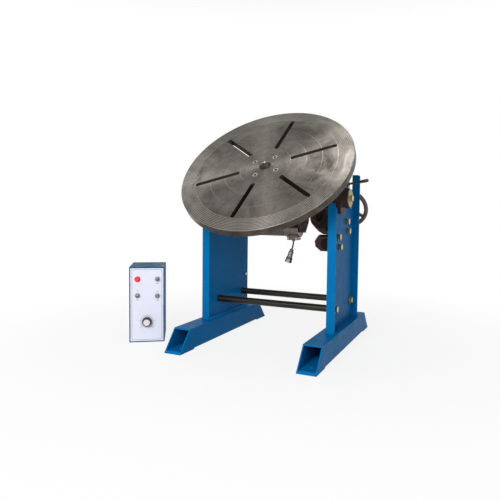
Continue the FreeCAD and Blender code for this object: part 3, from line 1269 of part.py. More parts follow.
def speed_knob():
    x, z = KNOB_AT
    profile = [(-KNOB_GAP, 0), (-KNOB_GAP, KNOB_R), (-KNOB_GAP - 4, KNOB_R),
               (-KNOB_GAP - KNOB_L + 1, KNOB_R - 3), (-KNOB_GAP - KNOB_L, KNOB_R - 4), (-KNOB_GAP - KNOB_L, 0)]
    solid = turned(profile, (x, 0, z), Y_DIR)
    solid = solid.fuse(rod(KNOB_SHAFT_R, 20, (x, -KNOB_GAP - CUT, z), Y_DIR))
    groove = block((x - 0.6, x + 0.6), (-KNOB_GAP - KNOB_L - CUT, -KNOB_GAP - 6),
                   (z + KNOB_R - 6, z + KNOB_R + CUT))
    return on_box(solid.cut(groove))


def motor_socket():
    """Round socket for the motor plug in the rear wall."""
    x, z = SOCKET_AT
    outer = BOX_D + SOCKET_FLANGE_T
    solid = rod(SOCKET_FLANGE_R, SOCKET_FLANGE_T, (x, BOX_D, z), Y_DIR)
    solid = solid.fuse(rod(SOCKET_BODY_R, SOCKET_DEPTH, (x, BOX_D - SOCKET_DEPTH, z), Y_DIR))
    return on_box(solid.cut(rod(SOCKET_R, SOCKET_DEPTH, (x, outer, z), (0, -1, 0))))


def mains_inlet():
    """Blanked gland of the mains inlet in the rear wall."""
    x, z = INLET_AT
    solid = hexagon(2 * INLET_R + 4, 5, (x, BOX_D, z), Y_DIR)
    solid = solid.fuse(rod(INLET_R - 1, 12, (x, BOX_D, z), Y_DIR))
    return on_box(solid.fuse(rod(INLET_R, 10, (x, BOX_D - 10, z), Y_DIR)))


# ================================================================ every node
def nodes():
    right_column = column(True)
    right_foot = foot()
    right_arm = arm()
    return {
        "left_foot": mirrored(right_foot), "right_foot": right_foot, "foot_pads": foot_pads(),
        "left_column": column(False), "right_column": right_column, "tie_bars": tie_bars(),
        "stand_bolts": stand_bolts(), "stand_washers": stand_washers(), "earth_bolt": earth_bolt(),
        "right_trunnion_housing": trunnion_housing(True), "left_trunnion_housing": trunnion_housing(False),
        "trunnion_bushes": trunnion_bushes(), "lock_nut": lock_nut(),
        "front_worm_block": worm_block(-1), "rear_worm_block": worm_block(1), "worm_bushes": worm_bushes(),
        "clamp_lever": clamp_lever(), "lever_grip": lever_grip(),
        "tilt_worm_shaft": tilt_worm_shaft(), "handwheel": handwheel(), "handwheel_nut": handwheel_nut(),
        "crank_pin": crank_pin(), "crank_grip": crank_grip(),
        "cradle_plate": cradle_plate(), "right_arm": on_head(right_arm),
        "left_arm": on_head(mirrored(right_arm)), "cradle_bolts": cradle_bolts(),
        "left_trunnion": left_trunnion(), "right_trunnion": on_head(trunnion_pin(ARM_X)),
        "end_washers": end_washers(), "end_bolts": end_bolts(),
        "tilt_quadrant": tilt_quadrant(), "spindle_housing": spindle_housing(),
        "cradle_bearings": cradle_bearings(), "drive_case": drive_case(), "case_cover": case_cover(),
        "case_screws": case_screws(), "motor_body": motor_body(), "motor_end_caps": motor_end_caps(),
        "motor_screws": motor_screws(), "terminal_box": terminal_box(), "motor_lead": motor_lead(),
        "lead_plug": lead_plug(), "drive_worm": drive_worm(),
        "table_disc": table_disc(), "table_screws": table_screws(), "spindle": spindle(),
        "spindle_nut": spindle_nut(), "drive_wheel": drive_wheel(),
        "box_case": box_case(), "box_panel": box_panel(), "box_screws": box_screws(),
        "signal_lamp": signal_lamp(), "toggle_bushes": toggle_bushes(), "power_toggle": toggle_lever(0),
        "direction_toggle": toggle_lever(1), "mode_toggle": toggle_lever(2), "speed_knob": speed_knob(),
        "motor_socket": motor_socket(), "mains_inlet": mains_inlet(),
    }


os.makedirs("parts", exist_ok=True)
to_origin = V(0, -sum(anchor_places()) / 2, 0)
for name, shape in nodes().items():
    shape.translate(to_origin)
    shape.exportStep("parts/" + name + ".step")
    print(name, len(shape.Solids), "solids, valid", shape.isValid())
print("lead bend radius", LEAD_BEND_R, "lead diameter", 2 * LEAD_R)
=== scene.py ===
import json
import math
import bmesh
import bpy
from mathutils import Matrix, Vector


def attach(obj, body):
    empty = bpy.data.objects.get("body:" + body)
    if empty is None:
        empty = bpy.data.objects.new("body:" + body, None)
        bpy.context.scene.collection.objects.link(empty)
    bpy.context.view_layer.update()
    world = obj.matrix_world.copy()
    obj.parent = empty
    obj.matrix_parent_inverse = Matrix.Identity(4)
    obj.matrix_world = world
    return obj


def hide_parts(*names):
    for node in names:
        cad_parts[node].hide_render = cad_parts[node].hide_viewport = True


# Looks of a welding positioner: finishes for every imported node, the small trim of the control box,
# the motor lead, a pale studio and the camera.  Lengths are in metres, in the frame of the part.

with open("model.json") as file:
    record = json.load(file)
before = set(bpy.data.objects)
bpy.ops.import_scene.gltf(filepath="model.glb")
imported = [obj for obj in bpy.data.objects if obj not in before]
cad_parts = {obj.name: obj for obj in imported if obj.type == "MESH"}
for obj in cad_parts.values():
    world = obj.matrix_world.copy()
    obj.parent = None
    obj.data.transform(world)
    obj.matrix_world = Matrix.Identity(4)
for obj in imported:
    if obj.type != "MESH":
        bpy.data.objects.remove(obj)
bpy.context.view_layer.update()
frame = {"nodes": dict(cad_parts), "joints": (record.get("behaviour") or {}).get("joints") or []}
NODES = frame["nodes"]
JOINTS = {joint["name"]: joint for joint in frame["joints"]}


# ---------------------------------------------------------------- places taken from the frame
def joint_point(name):
    return Vector(JOINTS[name]["pos_m"])


def joint_axis(name):
    return Vector(JOINTS[name]["axis"]).normalized()


def node_span(node, axis, start):
    """How far a node reaches along an axis, from a point: its lowest and its highest distance."""
    values = [(vertex.co - start).dot(axis) for vertex in NODES[node].data.vertices]
    return min(values), max(values)


TABLE_CENTRE = joint_point("table_spin")
TABLE_AXIS = joint_axis("table_spin")
SHAFT_CENTRE = joint_point("handwheel_turn")
SHAFT_AXIS = joint_axis("handwheel_turn")
KNOB_CENTRE = joint_point("speed_knob_turn")
# The knob's axis, pointing out of the panel's front, and the point of the front on that axis.
PANEL_OUT = joint_axis("speed_knob_turn")
if PANEL_OUT.y > 0:
    PANEL_OUT.negate()
PANEL_UP = Vector((0, 0, 1))
PANEL_RIGHT = PANEL_UP.cross(PANEL_OUT).normalized()
PANEL_FACE = KNOB_CENTRE + PANEL_OUT * node_span("box_panel", PANEL_OUT, KNOB_CENTRE)[1]
TOGGLES = ("power_toggle", "direction_toggle", "mode_toggle")

# ---------------------------------------------------------------- sizes that the frame does not name
# On the table, as radii from its axis.  A band is its middle radius and half its width.
GROOVE_RADII = (0.089, 0.143, 0.196, 0.247)
GROOVE_HALF = 0.0008
FEED_PITCH = 0.0058
FEED_STARTS = (0.247, 0.251)
SLOT_BAND = (0.15, 0.106)
BORE_BAND = (0.02, 0.004)
RIM_STARTS = (0.28, 0.29)
# Depths below the tops of the screws round the bore, where the painted shade in their sockets is full
# and where it fades out.
SOCKET_SHADE_DEPTHS = (0.0022, 0.0004)
# The lead's route from the terminal box to the plug, which goes on in line with the lead's last run,
# and the middles of the bands of painted shade between the plug's rings, from its top.
LEAD_ROUTE = [(0.0665, -0.02012, 0.36005), (0.0665, -0.02012, 0.3492), (0.05989, -0.02012, 0.32731)]
LEAD_DIAMETER = 0.0052
PLUG_TOP = Vector(LEAD_ROUTE[-1])
PLUG_AXIS = (PLUG_TOP - Vector(LEAD_ROUTE[-2])).normalized()
PLUG_SHADE_BANDS = (-0.0015, 0.0035, 0.0265, 0.03)
PLUG_SHADE_HALF = 0.0012


# ---------------------------------------------------------------- node helpers
def rgb(red, green, blue):
    """A colour given as 0 to 255 display values, as the linear values that a socket holds."""
    def linear(value):
        share = value / 255
        return share / 12.92 if share <= 0.04045 else ((share + 0.055) / 1.055) ** 2.4
    return (linear(red), linear(green), linear(blue), 1.0)


def scaled(colour, factor):
    return tuple(min(1, factor * value) for value in colour[:3]) + (1,)


def add(tree, kind, inputs=None, **settings):
    """A node with its settings, whose inputs are given as values or as the sockets that feed them."""
    made = tree.nodes.new(kind)
    for key, value in settings.items():
        setattr(made, key, value)
    for key, value in (inputs or {}).items():
        if isinstance(value, bpy.types.NodeSocket):
            tree.links.new(value, made.inputs[key])
        else:
            made.inputs[key].default_value = value
    return made


def place(tree):
    return add(tree, "ShaderNodeTexCoord").outputs["Object"]


def noise(tree, scale, detail=4.0, rough=0.55, at=None, distortion=0.0):
    """Noise over the object's own metres: a scale of 100 has patches of about a centimetre."""
    inputs = {"Vector": at or place(tree), "Scale": scale, "Detail": detail,
              "Roughness": rough, "Distortion": distortion}
    return add(tree, "ShaderNodeTexNoise", inputs).outputs["Fac"]


def ring_noise(tree, radius, scale, rough):
    """Noise that changes with the radius alone."""
    inputs = {"W": radius, "Scale": scale, "Detail": 3.0, "Roughness": rough}
    return add(tree, "ShaderNodeTexNoise", inputs, noise_dimensions="1D").outputs["Fac"]


def span(tree, value, low, high, to_low=0.0, to_high=1.0):
    """A value carried from one range to another, and held at its ends."""
    inputs = {"Value": value, "From Min": low, "From Max": high, "To Min": to_low, "To Max": to_high}
    return add(tree, "ShaderNodeMapRange", inputs).outputs["Result"]


def uneven(tree, scale, low, high, detail=4):
    """A value that drifts between low and high over the patches of a noise."""
    return span(tree, noise(tree, scale, detail), 0.3, 0.7, low, high)


def maths(tree, kind, first, second=0.5):
    return add(tree, "ShaderNodeMath", {0: first, 1: second}, operation=kind).outputs["Value"]


def vectors(tree, kind, first, second=(0, 0, 0), output="Vector"):
    return add(tree, "ShaderNodeVectorMath", {0: first, 1: second}, operation=kind).outputs[output]


def mix(tree, share, first, second):
    """The first colour where the share is 0 and the second where it is 1."""
    return add(tree, "ShaderNodeMix", {0: share, 6: first, 7: second}, data_type="RGBA").outputs[2]


def near(tree, value, centre, half):
    """1 where a value lies within half of the centre."""
    inputs = {0: value, 1: centre, 2: half}
    return add(tree, "ShaderNodeMath", inputs, operation="COMPARE").outputs["Value"]


def near_any(tree, value, centres, half):
    """1 where a value lies within half of any of the centres."""
    found = near(tree, value, centres[0], half)
    for centre in centres[1:]:
        found = maths(tree, "MAXIMUM", found, near(tree, value, centre, half))
    return found


def bump(tree, height, distance, strength=1.0, under=None):
    inputs = {"Height": height, "Distance": distance, "Strength": strength}
    if under is not None:
        inputs["Normal"] = under
    return add(tree, "ShaderNodeBump", inputs).outputs["Normal"]


def edge_share(tree, radius):
    """1 on an outside or inside corner and 0 on a flat face, from the turn of a rounded normal."""
    rounded = add(tree, "ShaderNodeBevel", {"Radius": radius}, samples=4).outputs["Normal"]
    flat = add(tree, "ShaderNodeNewGeometry").outputs["Normal"]
    return span(tree, vectors(tree, "DOT_PRODUCT", rounded, flat, "Value"), 0.995, 0.75)


def worn_edge(tree, radius, scale, detail):
    """The edge share, broken up by a noise."""
    return maths(tree, "MULTIPLY", edge_share(tree, radius), noise(tree, scale, detail))


def axis_place(tree, centre, axis):
    """Object coordinates turned so that Z runs along a stored axis through its centre."""
    turn = Vector(axis).rotation_difference(Vector((0, 0, 1))).to_euler()
    shifted = vectors(tree, "SUBTRACT", place(tree), tuple(centre))
    return add(tree, "ShaderNodeVectorRotate", {"Vector": shifted, "Rotation": turn},
               rotation_type="EULER_XYZ").outputs["Vector"]


def height_of(tree, at):
    return add(tree, "ShaderNodeSeparateXYZ", {"Vector": at}).outputs["Z"]


def radius_of(tree, at):
    return vectors(tree, "LENGTH", vectors(tree, "MULTIPLY", at, (1, 1, 0)), output="Value")


def new_finish(name):
    material = bpy.data.materials.new(name)
    material.use_nodes = True
    return material, material.node_tree, material.node_tree.nodes["Principled BSDF"]


def wire(tree, shader, colour=None, roughness=None, normal=None, metallic=None, tangent=None):
    """Feeds a shader's sockets with values or with other nodes' outputs."""
    sockets = {"Base Color": colour, "Roughness": roughness, "Normal": normal,
               "Metallic": metallic, "Tangent": tangent}
    for key, value in sockets.items():
        if isinstance(value, bpy.types.NodeSocket):
            tree.links.new(value, shader.inputs[key])
        elif value is not None:
            shader.inputs[key].default_value = value


# ---------------------------------------------------------------- finishes
def paint(name, colour, worn, roughness):
    """Sprayed enamel: orange peel, slight fading, dusty patches and chips along the edges."""
    material, tree, shader = new_finish(name)
    base = mix(tree, noise(tree, 6, 5), colour, worn)
    grime = span(tree, noise(tree, 12, 6, 0.6), 0.5, 0.85, 0.0, 0.3)
    base = mix(tree, grime, base, scaled(colour, 0.55))
    edge = edge_share(tree, 0.0022)
    base = mix(tree, maths(tree, "MULTIPLY", edge, 0.3), base, scaled(worn, 1.3))
    chip = span(tree, maths(tree, "MULTIPLY", edge, noise(tree, 210, 3)), 0.62, 0.67)
    base = mix(tree, chip, base, rgb(70, 66, 62))
    peel = bump(tree, noise(tree, 420, 2), 0.00025, 0.35)
    waves = bump(tree, noise(tree, 24, 2), 0.0008, 0.25, peel)
    chipped = bump(tree, chip, -0.0002, 0.6, waves)
    wire(tree, shader, base, uneven(tree, 40, roughness - 0.07, roughness + 0.1, 5), chipped)
    shader.inputs["Specular IOR Level"].default_value = 0.04
    return material


def casting(name, dark, light, roughness=0.55):
    """Sand-cast iron under thin paint: pits, lumps and rubbed edges."""
    material, tree, shader = new_finish(name)
    base = mix(tree, noise(tree, 18, 6, 0.65), dark, light)
    base = mix(tree, span(tree, worn_edge(tree, 0.003, 90, 4), 0.35, 0.6), base, rgb(122, 110, 98))
    grain = bump(tree, noise(tree, 380, 5, 0.7), 0.0006, 0.5)
    lumps = bump(tree, noise(tree, 70, 4), 0.0016, 0.45, grain)
    wire(tree, shader, base, uneven(tree, 60, roughness - 0.12, roughness + 0.14), lumps)
    shader.inputs["Specular IOR Level"].default_value = 0.25
    return material


def plating(name, colour, tint, roughness=0.3, blotch=90):
    """Plated steel: cloudy lustre, fine scratches and dull spots."""
    material, tree, shader = new_finish(name)
    cloud = noise(tree, blotch, 5, 0.6)
    base = mix(tree, cloud, colour, tint)
    dull = span(tree, noise(tree, 300, 4, 0.7), 0.58, 0.75, 0.0, 0.5)
    base = mix(tree, dull, base, rgb(110, 104, 96))
    rough = span(tree, cloud, 0.3, 0.7, roughness - 0.08, roughness + 0.14)
    wire(tree, shader, base, rough, bump(tree, noise(tree, 900, 3), 0.0001, 0.4), 1.0)
    return material


def turned(name, colour, tint, pitch=0.0006, roughness=0.3, centre=TABLE_CENTRE, axis=TABLE_AXIS):
    """Lathe-turned steel: fine rings about an axis, with oil-darkened patches."""
    material, tree, shader = new_finish(name)
    height = height_of(tree, axis_place(tree, centre, axis))
    rings = add(tree, "ShaderNodeTexNoise", {"W": height, "Scale": 0.25 / pitch, "Detail": 2.0},
                noise_dimensions="1D").outputs["Fac"]
    base = mix(tree, noise(tree, 35, 5, 0.6), colour, tint)
    rough = uneven(tree, 70, roughness - 0.08, roughness + 0.15)
    wire(tree, shader, base, rough, bump(tree, rings, 0.00015, 0.5), 1.0)
    return material


def wall_share(tree):
    """1 on the table's walls that run along its axis and 0 on its flat faces."""
    flat = add(tree, "ShaderNodeTexCoord").outputs["Normal"]
    facing = vectors(tree, "DOT_PRODUCT", flat, tuple(TABLE_AXIS), "Value")
    return span(tree, maths(tree, "ABSOLUTE", facing), 0.3, 0.6, 1.0, 0.0)


def outward_tangent(tree):
    """Straight out from the table's axis, in the world, so that ring cuts shine in two fans."""
    away = vectors(tree, "SUBTRACT", place(tree), tuple(TABLE_CENTRE))
    around = vectors(tree, "CROSS_PRODUCT", tuple(TABLE_AXIS), away)
    around = add(tree, "ShaderNodeVectorTransform", {"Vector": around}, vector_type="VECTOR",
                 convert_from="OBJECT", convert_to="WORLD").outputs["Vector"]
    normal = add(tree, "ShaderNodeNewGeometry").outputs["Normal"]
    return vectors(tree, "NORMALIZE", vectors(tree, "CROSS_PRODUCT", around, normal))


def faced_steel(name):
    """The table: facing cuts in rings, anisotropic lustre, clouds, oil marks, long scratches, bright
    grooves, coarse feed marks outside them, worn edges, painted shade on the slot walls and a rusty rim."""
    material, tree, shader = new_finish(name)
    at = axis_place(tree, TABLE_CENTRE, TABLE_AXIS)
    radius = radius_of(tree, at)
    fine = ring_noise(tree, radius, 520.0, 0.7)
    broad = ring_noise(tree, radius, 26.0, 0.6)
    wave = maths(tree, "SINE", maths(tree, "MULTIPLY", radius, 2 * math.pi / FEED_PITCH))
    patch = span(tree, noise(tree, 4.5, 3, 0.5), 0.4, 0.6, 0.25, 1.0)
    feed = maths(tree, "MULTIPLY", maths(tree, "MULTIPLY", span(tree, radius, *FEED_STARTS), patch), wave)
    clouds = noise(tree, 7, 7, 0.66, distortion=0.8)
    oil = span(tree, noise(tree, 13, 6, 0.7, distortion=1.4), 0.54, 0.7, 0.0, 0.55)
    base = mix(tree, span(tree, clouds, 0.34, 0.66), rgb(98, 92, 87), rgb(172, 166, 157))
    base = mix(tree, span(tree, broad, 0.35, 0.65, 0.0, 0.35), base, rgb(122, 116, 108))
    base = mix(tree, oil, base, rgb(64, 57, 51))
    base = mix(tree, span(tree, fine, 0.3, 0.7, 0.0, 0.35), base, rgb(66, 61, 56))
    base = mix(tree, span(tree, feed, 0.4, 1.0, 0.0, 0.8), base, rgb(216, 210, 200))
    base = mix(tree, span(tree, feed, -0.4, -1.0, 0.0, 0.35), base, rgb(70, 64, 58))
    scratch_at = vectors(tree, "MULTIPLY", at, (3.0, 60.0, 3.0))
    scratch = span(tree, noise(tree, 6, 2, 0.5, at=scratch_at), 0.68, 0.7, 0.0, 0.12)
    base = mix(tree, scratch, base, rgb(225, 220, 210))
    groove = near_any(tree, radius, GROOVE_RADII, GROOVE_HALF)
    base = mix(tree, maths(tree, "MULTIPLY", groove, 0.5), base, rgb(196, 190, 180))
    worn = span(tree, worn_edge(tree, 0.0018, 120, 3), 0.25, 0.55)
    base = mix(tree, worn, base, rgb(214, 208, 198))
    wall = wall_share(tree)
    # painted shade: the walls of the slots are darkened as if in shadow
    slot_wall_shade = maths(tree, "MULTIPLY", wall, near(tree, radius, *SLOT_BAND))
    base = mix(tree, slot_wall_shade, base, rgb(60, 52, 46))
    bore = maths(tree, "MULTIPLY", wall, near(tree, radius, *BORE_BAND))
    base = mix(tree, bore, base, rgb(156, 150, 148))
    rim = maths(tree, "MULTIPLY", wall, span(tree, radius, *RIM_STARTS))
    rust = span(tree, noise(tree, 26, 6, 0.7), 0.4, 0.65, 0.6, 0.95)
    base = mix(tree, maths(tree, "MULTIPLY", rim, rust), base, rgb(60, 50, 42))
    rough = span(tree, clouds, 0.3, 0.7, 0.46, 0.3)
    for dull, more in ((oil, 0.15), (slot_wall_shade, 0.3)):
        rough = maths(tree, "ADD", rough, maths(tree, "MULTIPLY", dull, more))
    cuts = bump(tree, feed, 0.00025, 0.7, bump(tree, fine, 0.00012, 0.5))
    wire(tree, shader, base, rough, cuts, 0.88, outward_tangent(tree))
    shader.inputs["Anisotropic"].default_value = 0.8
    return material


def screw_heads(name):
    """Bright socket heads, with painted shade inside the hexagon sockets."""
    material, tree, shader = new_finish(name)
    height = height_of(tree, axis_place(tree, TABLE_CENTRE, TABLE_AXIS))
    top = node_span("table_screws", TABLE_AXIS, TABLE_CENTRE)[1]
    deep, shallow = (top - depth for depth in SOCKET_SHADE_DEPTHS)
    base = mix(tree, noise(tree, 140, 4), rgb(244, 240, 232), rgb(204, 198, 188))
    # painted shade: the sockets darken with depth below the tops of the heads
    base = mix(tree, span(tree, height, deep, shallow, 1.0, 0.0), base, rgb(104, 98, 92))
    grain = bump(tree, noise(tree, 900, 3), 0.0001, 0.4)
    wire(tree, shader, base, uneven(tree, 200, 0.22, 0.4, 3), grain, 0.7)
    return material


def machined_bar(name):
    """Blackened bar: mill scale with rubbed bright streaks along X."""
    material, tree, shader = new_finish(name)
    streak = noise(tree, 3, 5, 0.6, at=vectors(tree, "MULTIPLY", place(tree), (4, 90, 90)))
    base = mix(tree, span(tree, streak, 0.35, 0.7), rgb(20, 18, 17), rgb(60, 55, 49))
    wire(tree, shader, base, uneven(tree, 50, 0.3, 0.48), bump(tree, streak, 0.0003, 0.4), 0.6)
    return material


def moulded(name, colour, worn, roughness, grain=700):
    """Moulded plastic or rubber: a fine spark-eroded grain and handling shine."""
    material, tree, shader = new_finish(name)
    base = mix(tree, noise(tree, 40, 4), colour, worn)
    rough = uneven(tree, 80, roughness - 0.08, roughness + 0.1)
    wire(tree, shader, base, rough, bump(tree, noise(tree, grain, 3), 0.0002, 0.45))
    return material


def knurled(name):
    """Nickel plug shell: fine knurled cells all over, and painted shade in bands between its rings."""
    material, tree, shader = new_finish(name)
    height = height_of(tree, axis_place(tree, PLUG_TOP, PLUG_AXIS))
    base = mix(tree, noise(tree, 200, 4), rgb(206, 200, 202), rgb(120, 110, 112))
    # painted shade: near-black bands in the creases between the plug's rings
    base = mix(tree, near_any(tree, height, PLUG_SHADE_BANDS, PLUG_SHADE_HALF), base, rgb(34, 24, 28))
    wave = add(tree, "ShaderNodeTexVoronoi", {"Vector": place(tree), "Scale": 700.0}).outputs["Distance"]
    base = mix(tree, span(tree, wave, 0.35, 0.6, 0.0, 0.35), base, rgb(70, 60, 64))
    wire(tree, shader, base, uneven(tree, 150, 0.14, 0.3, 3), bump(tree, wave, 0.0004, 0.6), 0.95)
    return material


def printed_panel(name):
    """Lavender-white panel: screen-print lustre with faint handling marks."""
    material, tree, shader = new_finish(name)
    base = mix(tree, noise(tree, 22, 4), rgb(230, 232, 246), rgb(222, 225, 242))
    marks = span(tree, noise(tree, 60, 6, 0.7, distortion=1.0), 0.6, 0.78, 0.0, 0.3)
    base = mix(tree, marks, base, rgb(192, 194, 216))
    wire(tree, shader, base, uneven(tree, 60, 0.34, 0.46), bump(tree, noise(tree, 600, 2), 0.0001, 0.3))
    return material


def ink(name):
    """Screen-print ink: a thin, slightly broken grey film."""
    material, tree, shader = new_finish(name)
    base = mix(tree, noise(tree, 300, 4), rgb(58, 60, 74), rgb(92, 94, 108))
    film = bump(tree, noise(tree, 900, 2), 0.00005, 0.4)
    wire(tree, shader, base, uneven(tree, 200, 0.4, 0.55, 3), film)
    return material


def lens(name):
    """Red signal lens: glossy and uneven, with a faint glow."""
    material, tree, shader = new_finish(name)
    base = mix(tree, noise(tree, 160, 3), rgb(205, 18, 26), rgb(236, 48, 46))
    flutes = bump(tree, noise(tree, 500, 2), 0.0002, 0.4)
    wire(tree, shader, base, uneven(tree, 120, 0.1, 0.2, 3), flutes)
    shader.inputs["Coat Weight"].default_value = 0.8
    shader.inputs["Emission Color"].default_value = rgb(220, 20, 24)
    shader.inputs["Emission Strength"].default_value = 0.12
    return material


# One finish for each material slot of the record.
FINISHES = {
    "blue_paint": paint("blue_paint", rgb(0, 106, 168), rgb(4, 116, 176), 0.4),
    "black_bar": machined_bar("black_bar"),
    "zinc": plating("zinc", rgb(206, 206, 202), rgb(156, 156, 154)),
    "yellow_zinc": plating("yellow_zinc", rgb(116, 118, 66), rgb(152, 144, 84)),
    "brown_casting": casting("brown_casting", rgb(50, 35, 32), rgb(84, 62, 58)),
    "tan_casting": casting("tan_casting", rgb(96, 84, 72), rgb(128, 114, 100), 0.45),
    "turned_steel": faced_steel("turned_steel"),
    "machined_steel": turned("machined_steel", rgb(170, 166, 160), rgb(126, 122, 116)),
    "bearing_steel": turned("bearing_steel", rgb(196, 196, 198), rgb(160, 160, 162), 0.0004, 0.2),
    "bronze": turned("bronze", rgb(150, 108, 66), rgb(104, 74, 48)),
    "motor_silver": plating("motor_silver", rgb(140, 128, 128), rgb(60, 50, 50), 0.24, 60),
    "black_plastic": moulded("black_plastic", rgb(22, 22, 24), rgb(38, 37, 38), 0.38),
    "black_rubber": moulded("black_rubber", rgb(16, 13, 14), rgb(28, 24, 24), 0.6, 500),
    "plug_chrome": plating("plug_chrome", rgb(214, 212, 210), rgb(150, 146, 144), 0.2, 200),
    "box_paint": paint("box_paint", rgb(0, 82, 118), rgb(6, 92, 128), 0.42),
    "panel_paint": printed_panel("panel_paint"),
    "red_lens": lens("red_lens"),
}
DULL_NICKEL = plating("dull_nickel", rgb(176, 174, 172), rgb(70, 70, 72), 0.3, 320)
# Nodes whose finish differs from that of the other nodes in their slot.
NODE_FINISHES = {
    "table_screws": screw_heads("screw_heads"),
    "toggle_bushes": DULL_NICKEL,
    "stand_bolts": plating("yellow_bolts", rgb(220, 204, 158), rgb(164, 144, 104), 0.3, 120),
    "end_bolts": plating("bright_yellow", rgb(232, 220, 178), rgb(190, 174, 130), 0.3, 120),
    "worm_bushes": turned("oiled_bronze", rgb(44, 36, 33), rgb(28, 23, 21), 0.0006, 0.4,
                          SHAFT_CENTRE, SHAFT_AXIS),
    "handwheel": casting("wheel_iron", rgb(88, 76, 70), rgb(124, 110, 102), 0.32),
    "lead_plug": knurled("plug_shell"),
    "clamp_lever": moulded("lever_black", rgb(24, 24, 26), rgb(40, 40, 42), 0.34),
}
INK = ink("panel_ink")
SPUN_CAP = plating("spun_cap", rgb(244, 242, 240), rgb(214, 212, 210), 0.2, 400)


def dress_frame():
    """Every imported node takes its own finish, or that of the material slot that the record gives it."""
    for name, shown in NODES.items():
        for index, held in enumerate(shown.material_slots):
            slot = held.material.name.split(".")[0]
            shown.material_slots[index].material = NODE_FINISHES.get(name) or FINISHES[slot]


dress_frame()


# ---------------------------------------------------------------- mesh helpers
def linked(name, data, finish, body, at=None):
    """An object that is in its place in the scene, has a finish and rides on a body."""
    made = bpy.data.objects.new(name, data)
    bpy.context.scene.collection.objects.link(made)
    if at is not None:
        made.matrix_world = at
    made.data.materials.append(finish)
    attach(made, body)
    return made


def mesh_piece(name, shape, finish, body):
    mesh = bpy.data.meshes.new(name)
    shape.to_mesh(mesh)
    shape.free()
    return linked(name, mesh, finish, body)


def lathe(shape, profile, steps=64):
    """Adds the body that a profile of (radius, height) sweeps about local Z."""
    rings = []
    for radius, height in profile:
        angles = [2 * math.pi * step / steps for step in range(steps)]
        rings.append([shape.verts.new((radius * math.cos(angle), radius * math.sin(angle), height))
                      for angle in angles])
    for low, high in zip(rings, rings[1:]):
        for step in range(steps):
            after = (step + 1) % steps
            shape.faces.new((low[step], low[after], high[after], high[step]))
    shape.faces.new(list(reversed(rings[0])))
    shape.faces.new(rings[-1])


def flat_ring(shape, inner, reaches, thick):
    """Adds a ring that lies on the local XY plane, whose outer radius goes through the reaches."""
    steps = len(reaches)
    low, high = [], []
    for step, reach in enumerate(reaches):
        angle = 2 * math.pi * step / steps
        for height, row in ((0, low), (thick, high)):
            row.append([shape.verts.new((radius * math.cos(angle), radius * math.sin(angle), height))
                        for radius in (inner, reach)])
    for step in range(steps):
        after = (step + 1) % steps
        shape.faces.new((high[step][0], high[step][1], high[after][1], high[after][0]))
        shape.faces.new((low[after][0], low[after][1], low[step][1], low[step][0]))
        shape.faces.new((low[step][1], low[after][1], high[after][1], high[step][1]))
        shape.faces.new((low[after][0], low[step][0], high[step][0], high[after][0]))


def slab(shape, width, height, thick, at=(0, 0), turn=0.0):
    """Adds a flat bar whose back lies on the local XY plane, turned about local Z."""
    spin = Matrix.Rotation(turn, 4, "Z")
    place_at = Matrix.Translation((at[0], at[1], thick / 2))
    grown = Matrix.Diagonal((width, height, thick, 1))
    bmesh.ops.create_cube(shape, size=1, matrix=spin @ place_at @ grown)


# ---------------------------------------------------------------- control box trim
MM = 0.001
PRINT_T = 0.15 * MM
BORDER_INSET = 4.5 * MM
BORDER_W = 0.9 * MM
DIAL_INNER_R = 20.5 * MM
DIAL_OUTER_R = 21.3 * MM
DIAL_STEPS = 96
DIAL_SWEEP = math.radians(270)
DIAL_TOP = 10
TICK_W = 0.6 * MM
LONG_TICK = 3.6 * MM
SHORT_TICK = 2.2 * MM
NUMBER_R = 28.0 * MM
NUMBER_SIZE = 4.6 * MM
CAP_R = 11.2 * MM
# From the cap's back to its front, as steps in from its edge and heights over the knob's end, in mm.
CAP_PROFILE = [(0, 0.1), (0, 0.4), (0.4, 0.75), (3, 0.82), (9.2, 0.6)]
WASHER_BORE_R = 7.7 * MM
WASHER_ROOT_R = 8.7 * MM
WASHER_TIP_R = 9.5 * MM
WASHER_TEETH = 18
WASHER_T = 0.7 * MM
# Width, height and distance above the toggle of the strokes printed below and above it.
LOWER_STROKE = (8 * MM, 1.7 * MM, -14.5 * MM)
UPPER_STROKE = (7 * MM, 1.1 * MM, 17 * MM)


def panel_matrix(right, up, out):
    """A place on the panel from the knob's centre, with local X to the right, Y up and Z out."""
    turn = Matrix((PANEL_RIGHT, PANEL_UP, PANEL_OUT)).transposed().to_4x4()
    point = PANEL_FACE + PANEL_RIGHT * right + PANEL_UP * up + PANEL_OUT * out
    return Matrix.Translation(point) @ turn


def panel_border():
    """The thin printed line round the panel."""
    left, right = node_span("box_panel", PANEL_RIGHT, PANEL_FACE)
    low, high = node_span("box_panel", PANEL_UP, PANEL_FACE)
    width = right - left - 2 * BORDER_INSET
    height = high - low - 2 * BORDER_INSET
    middle = ((left + right) / 2, (low + high) / 2)
    shape = bmesh.new()
    for side in (-1, 1):
        up = middle[1] + side * (height - BORDER_W) / 2
        across = middle[0] + side * (width - BORDER_W) / 2
        slab(shape, width, BORDER_W, PRINT_T, (middle[0], up))
        slab(shape, BORDER_W, height - 2 * BORDER_W, PRINT_T, (across, middle[1]))
    shape.transform(panel_matrix(0, 0, 0))
    mesh_piece("panel_border", shape, INK, "control_box")


def dial_turn(mark):
    """How far a mark of the dial is turned from straight up, anticlockwise, with 0 at the lower left."""
    return DIAL_SWEEP * (0.5 - mark / DIAL_TOP)


def dial_marks():
    """A printed ring and eleven ticks round the speed knob."""
    shape = bmesh.new()
    flat_ring(shape, DIAL_INNER_R, [DIAL_OUTER_R] * DIAL_STEPS, PRINT_T)
    for mark in range(DIAL_TOP + 1):
        long = LONG_TICK if mark % 5 == 0 else SHORT_TICK
        slab(shape, TICK_W, long, PRINT_T, (0, DIAL_OUTER_R + long / 2), dial_turn(mark))
    shape.transform(panel_matrix(0, 0, 0))
    mesh_piece("dial_marks", shape, INK, "control_box")


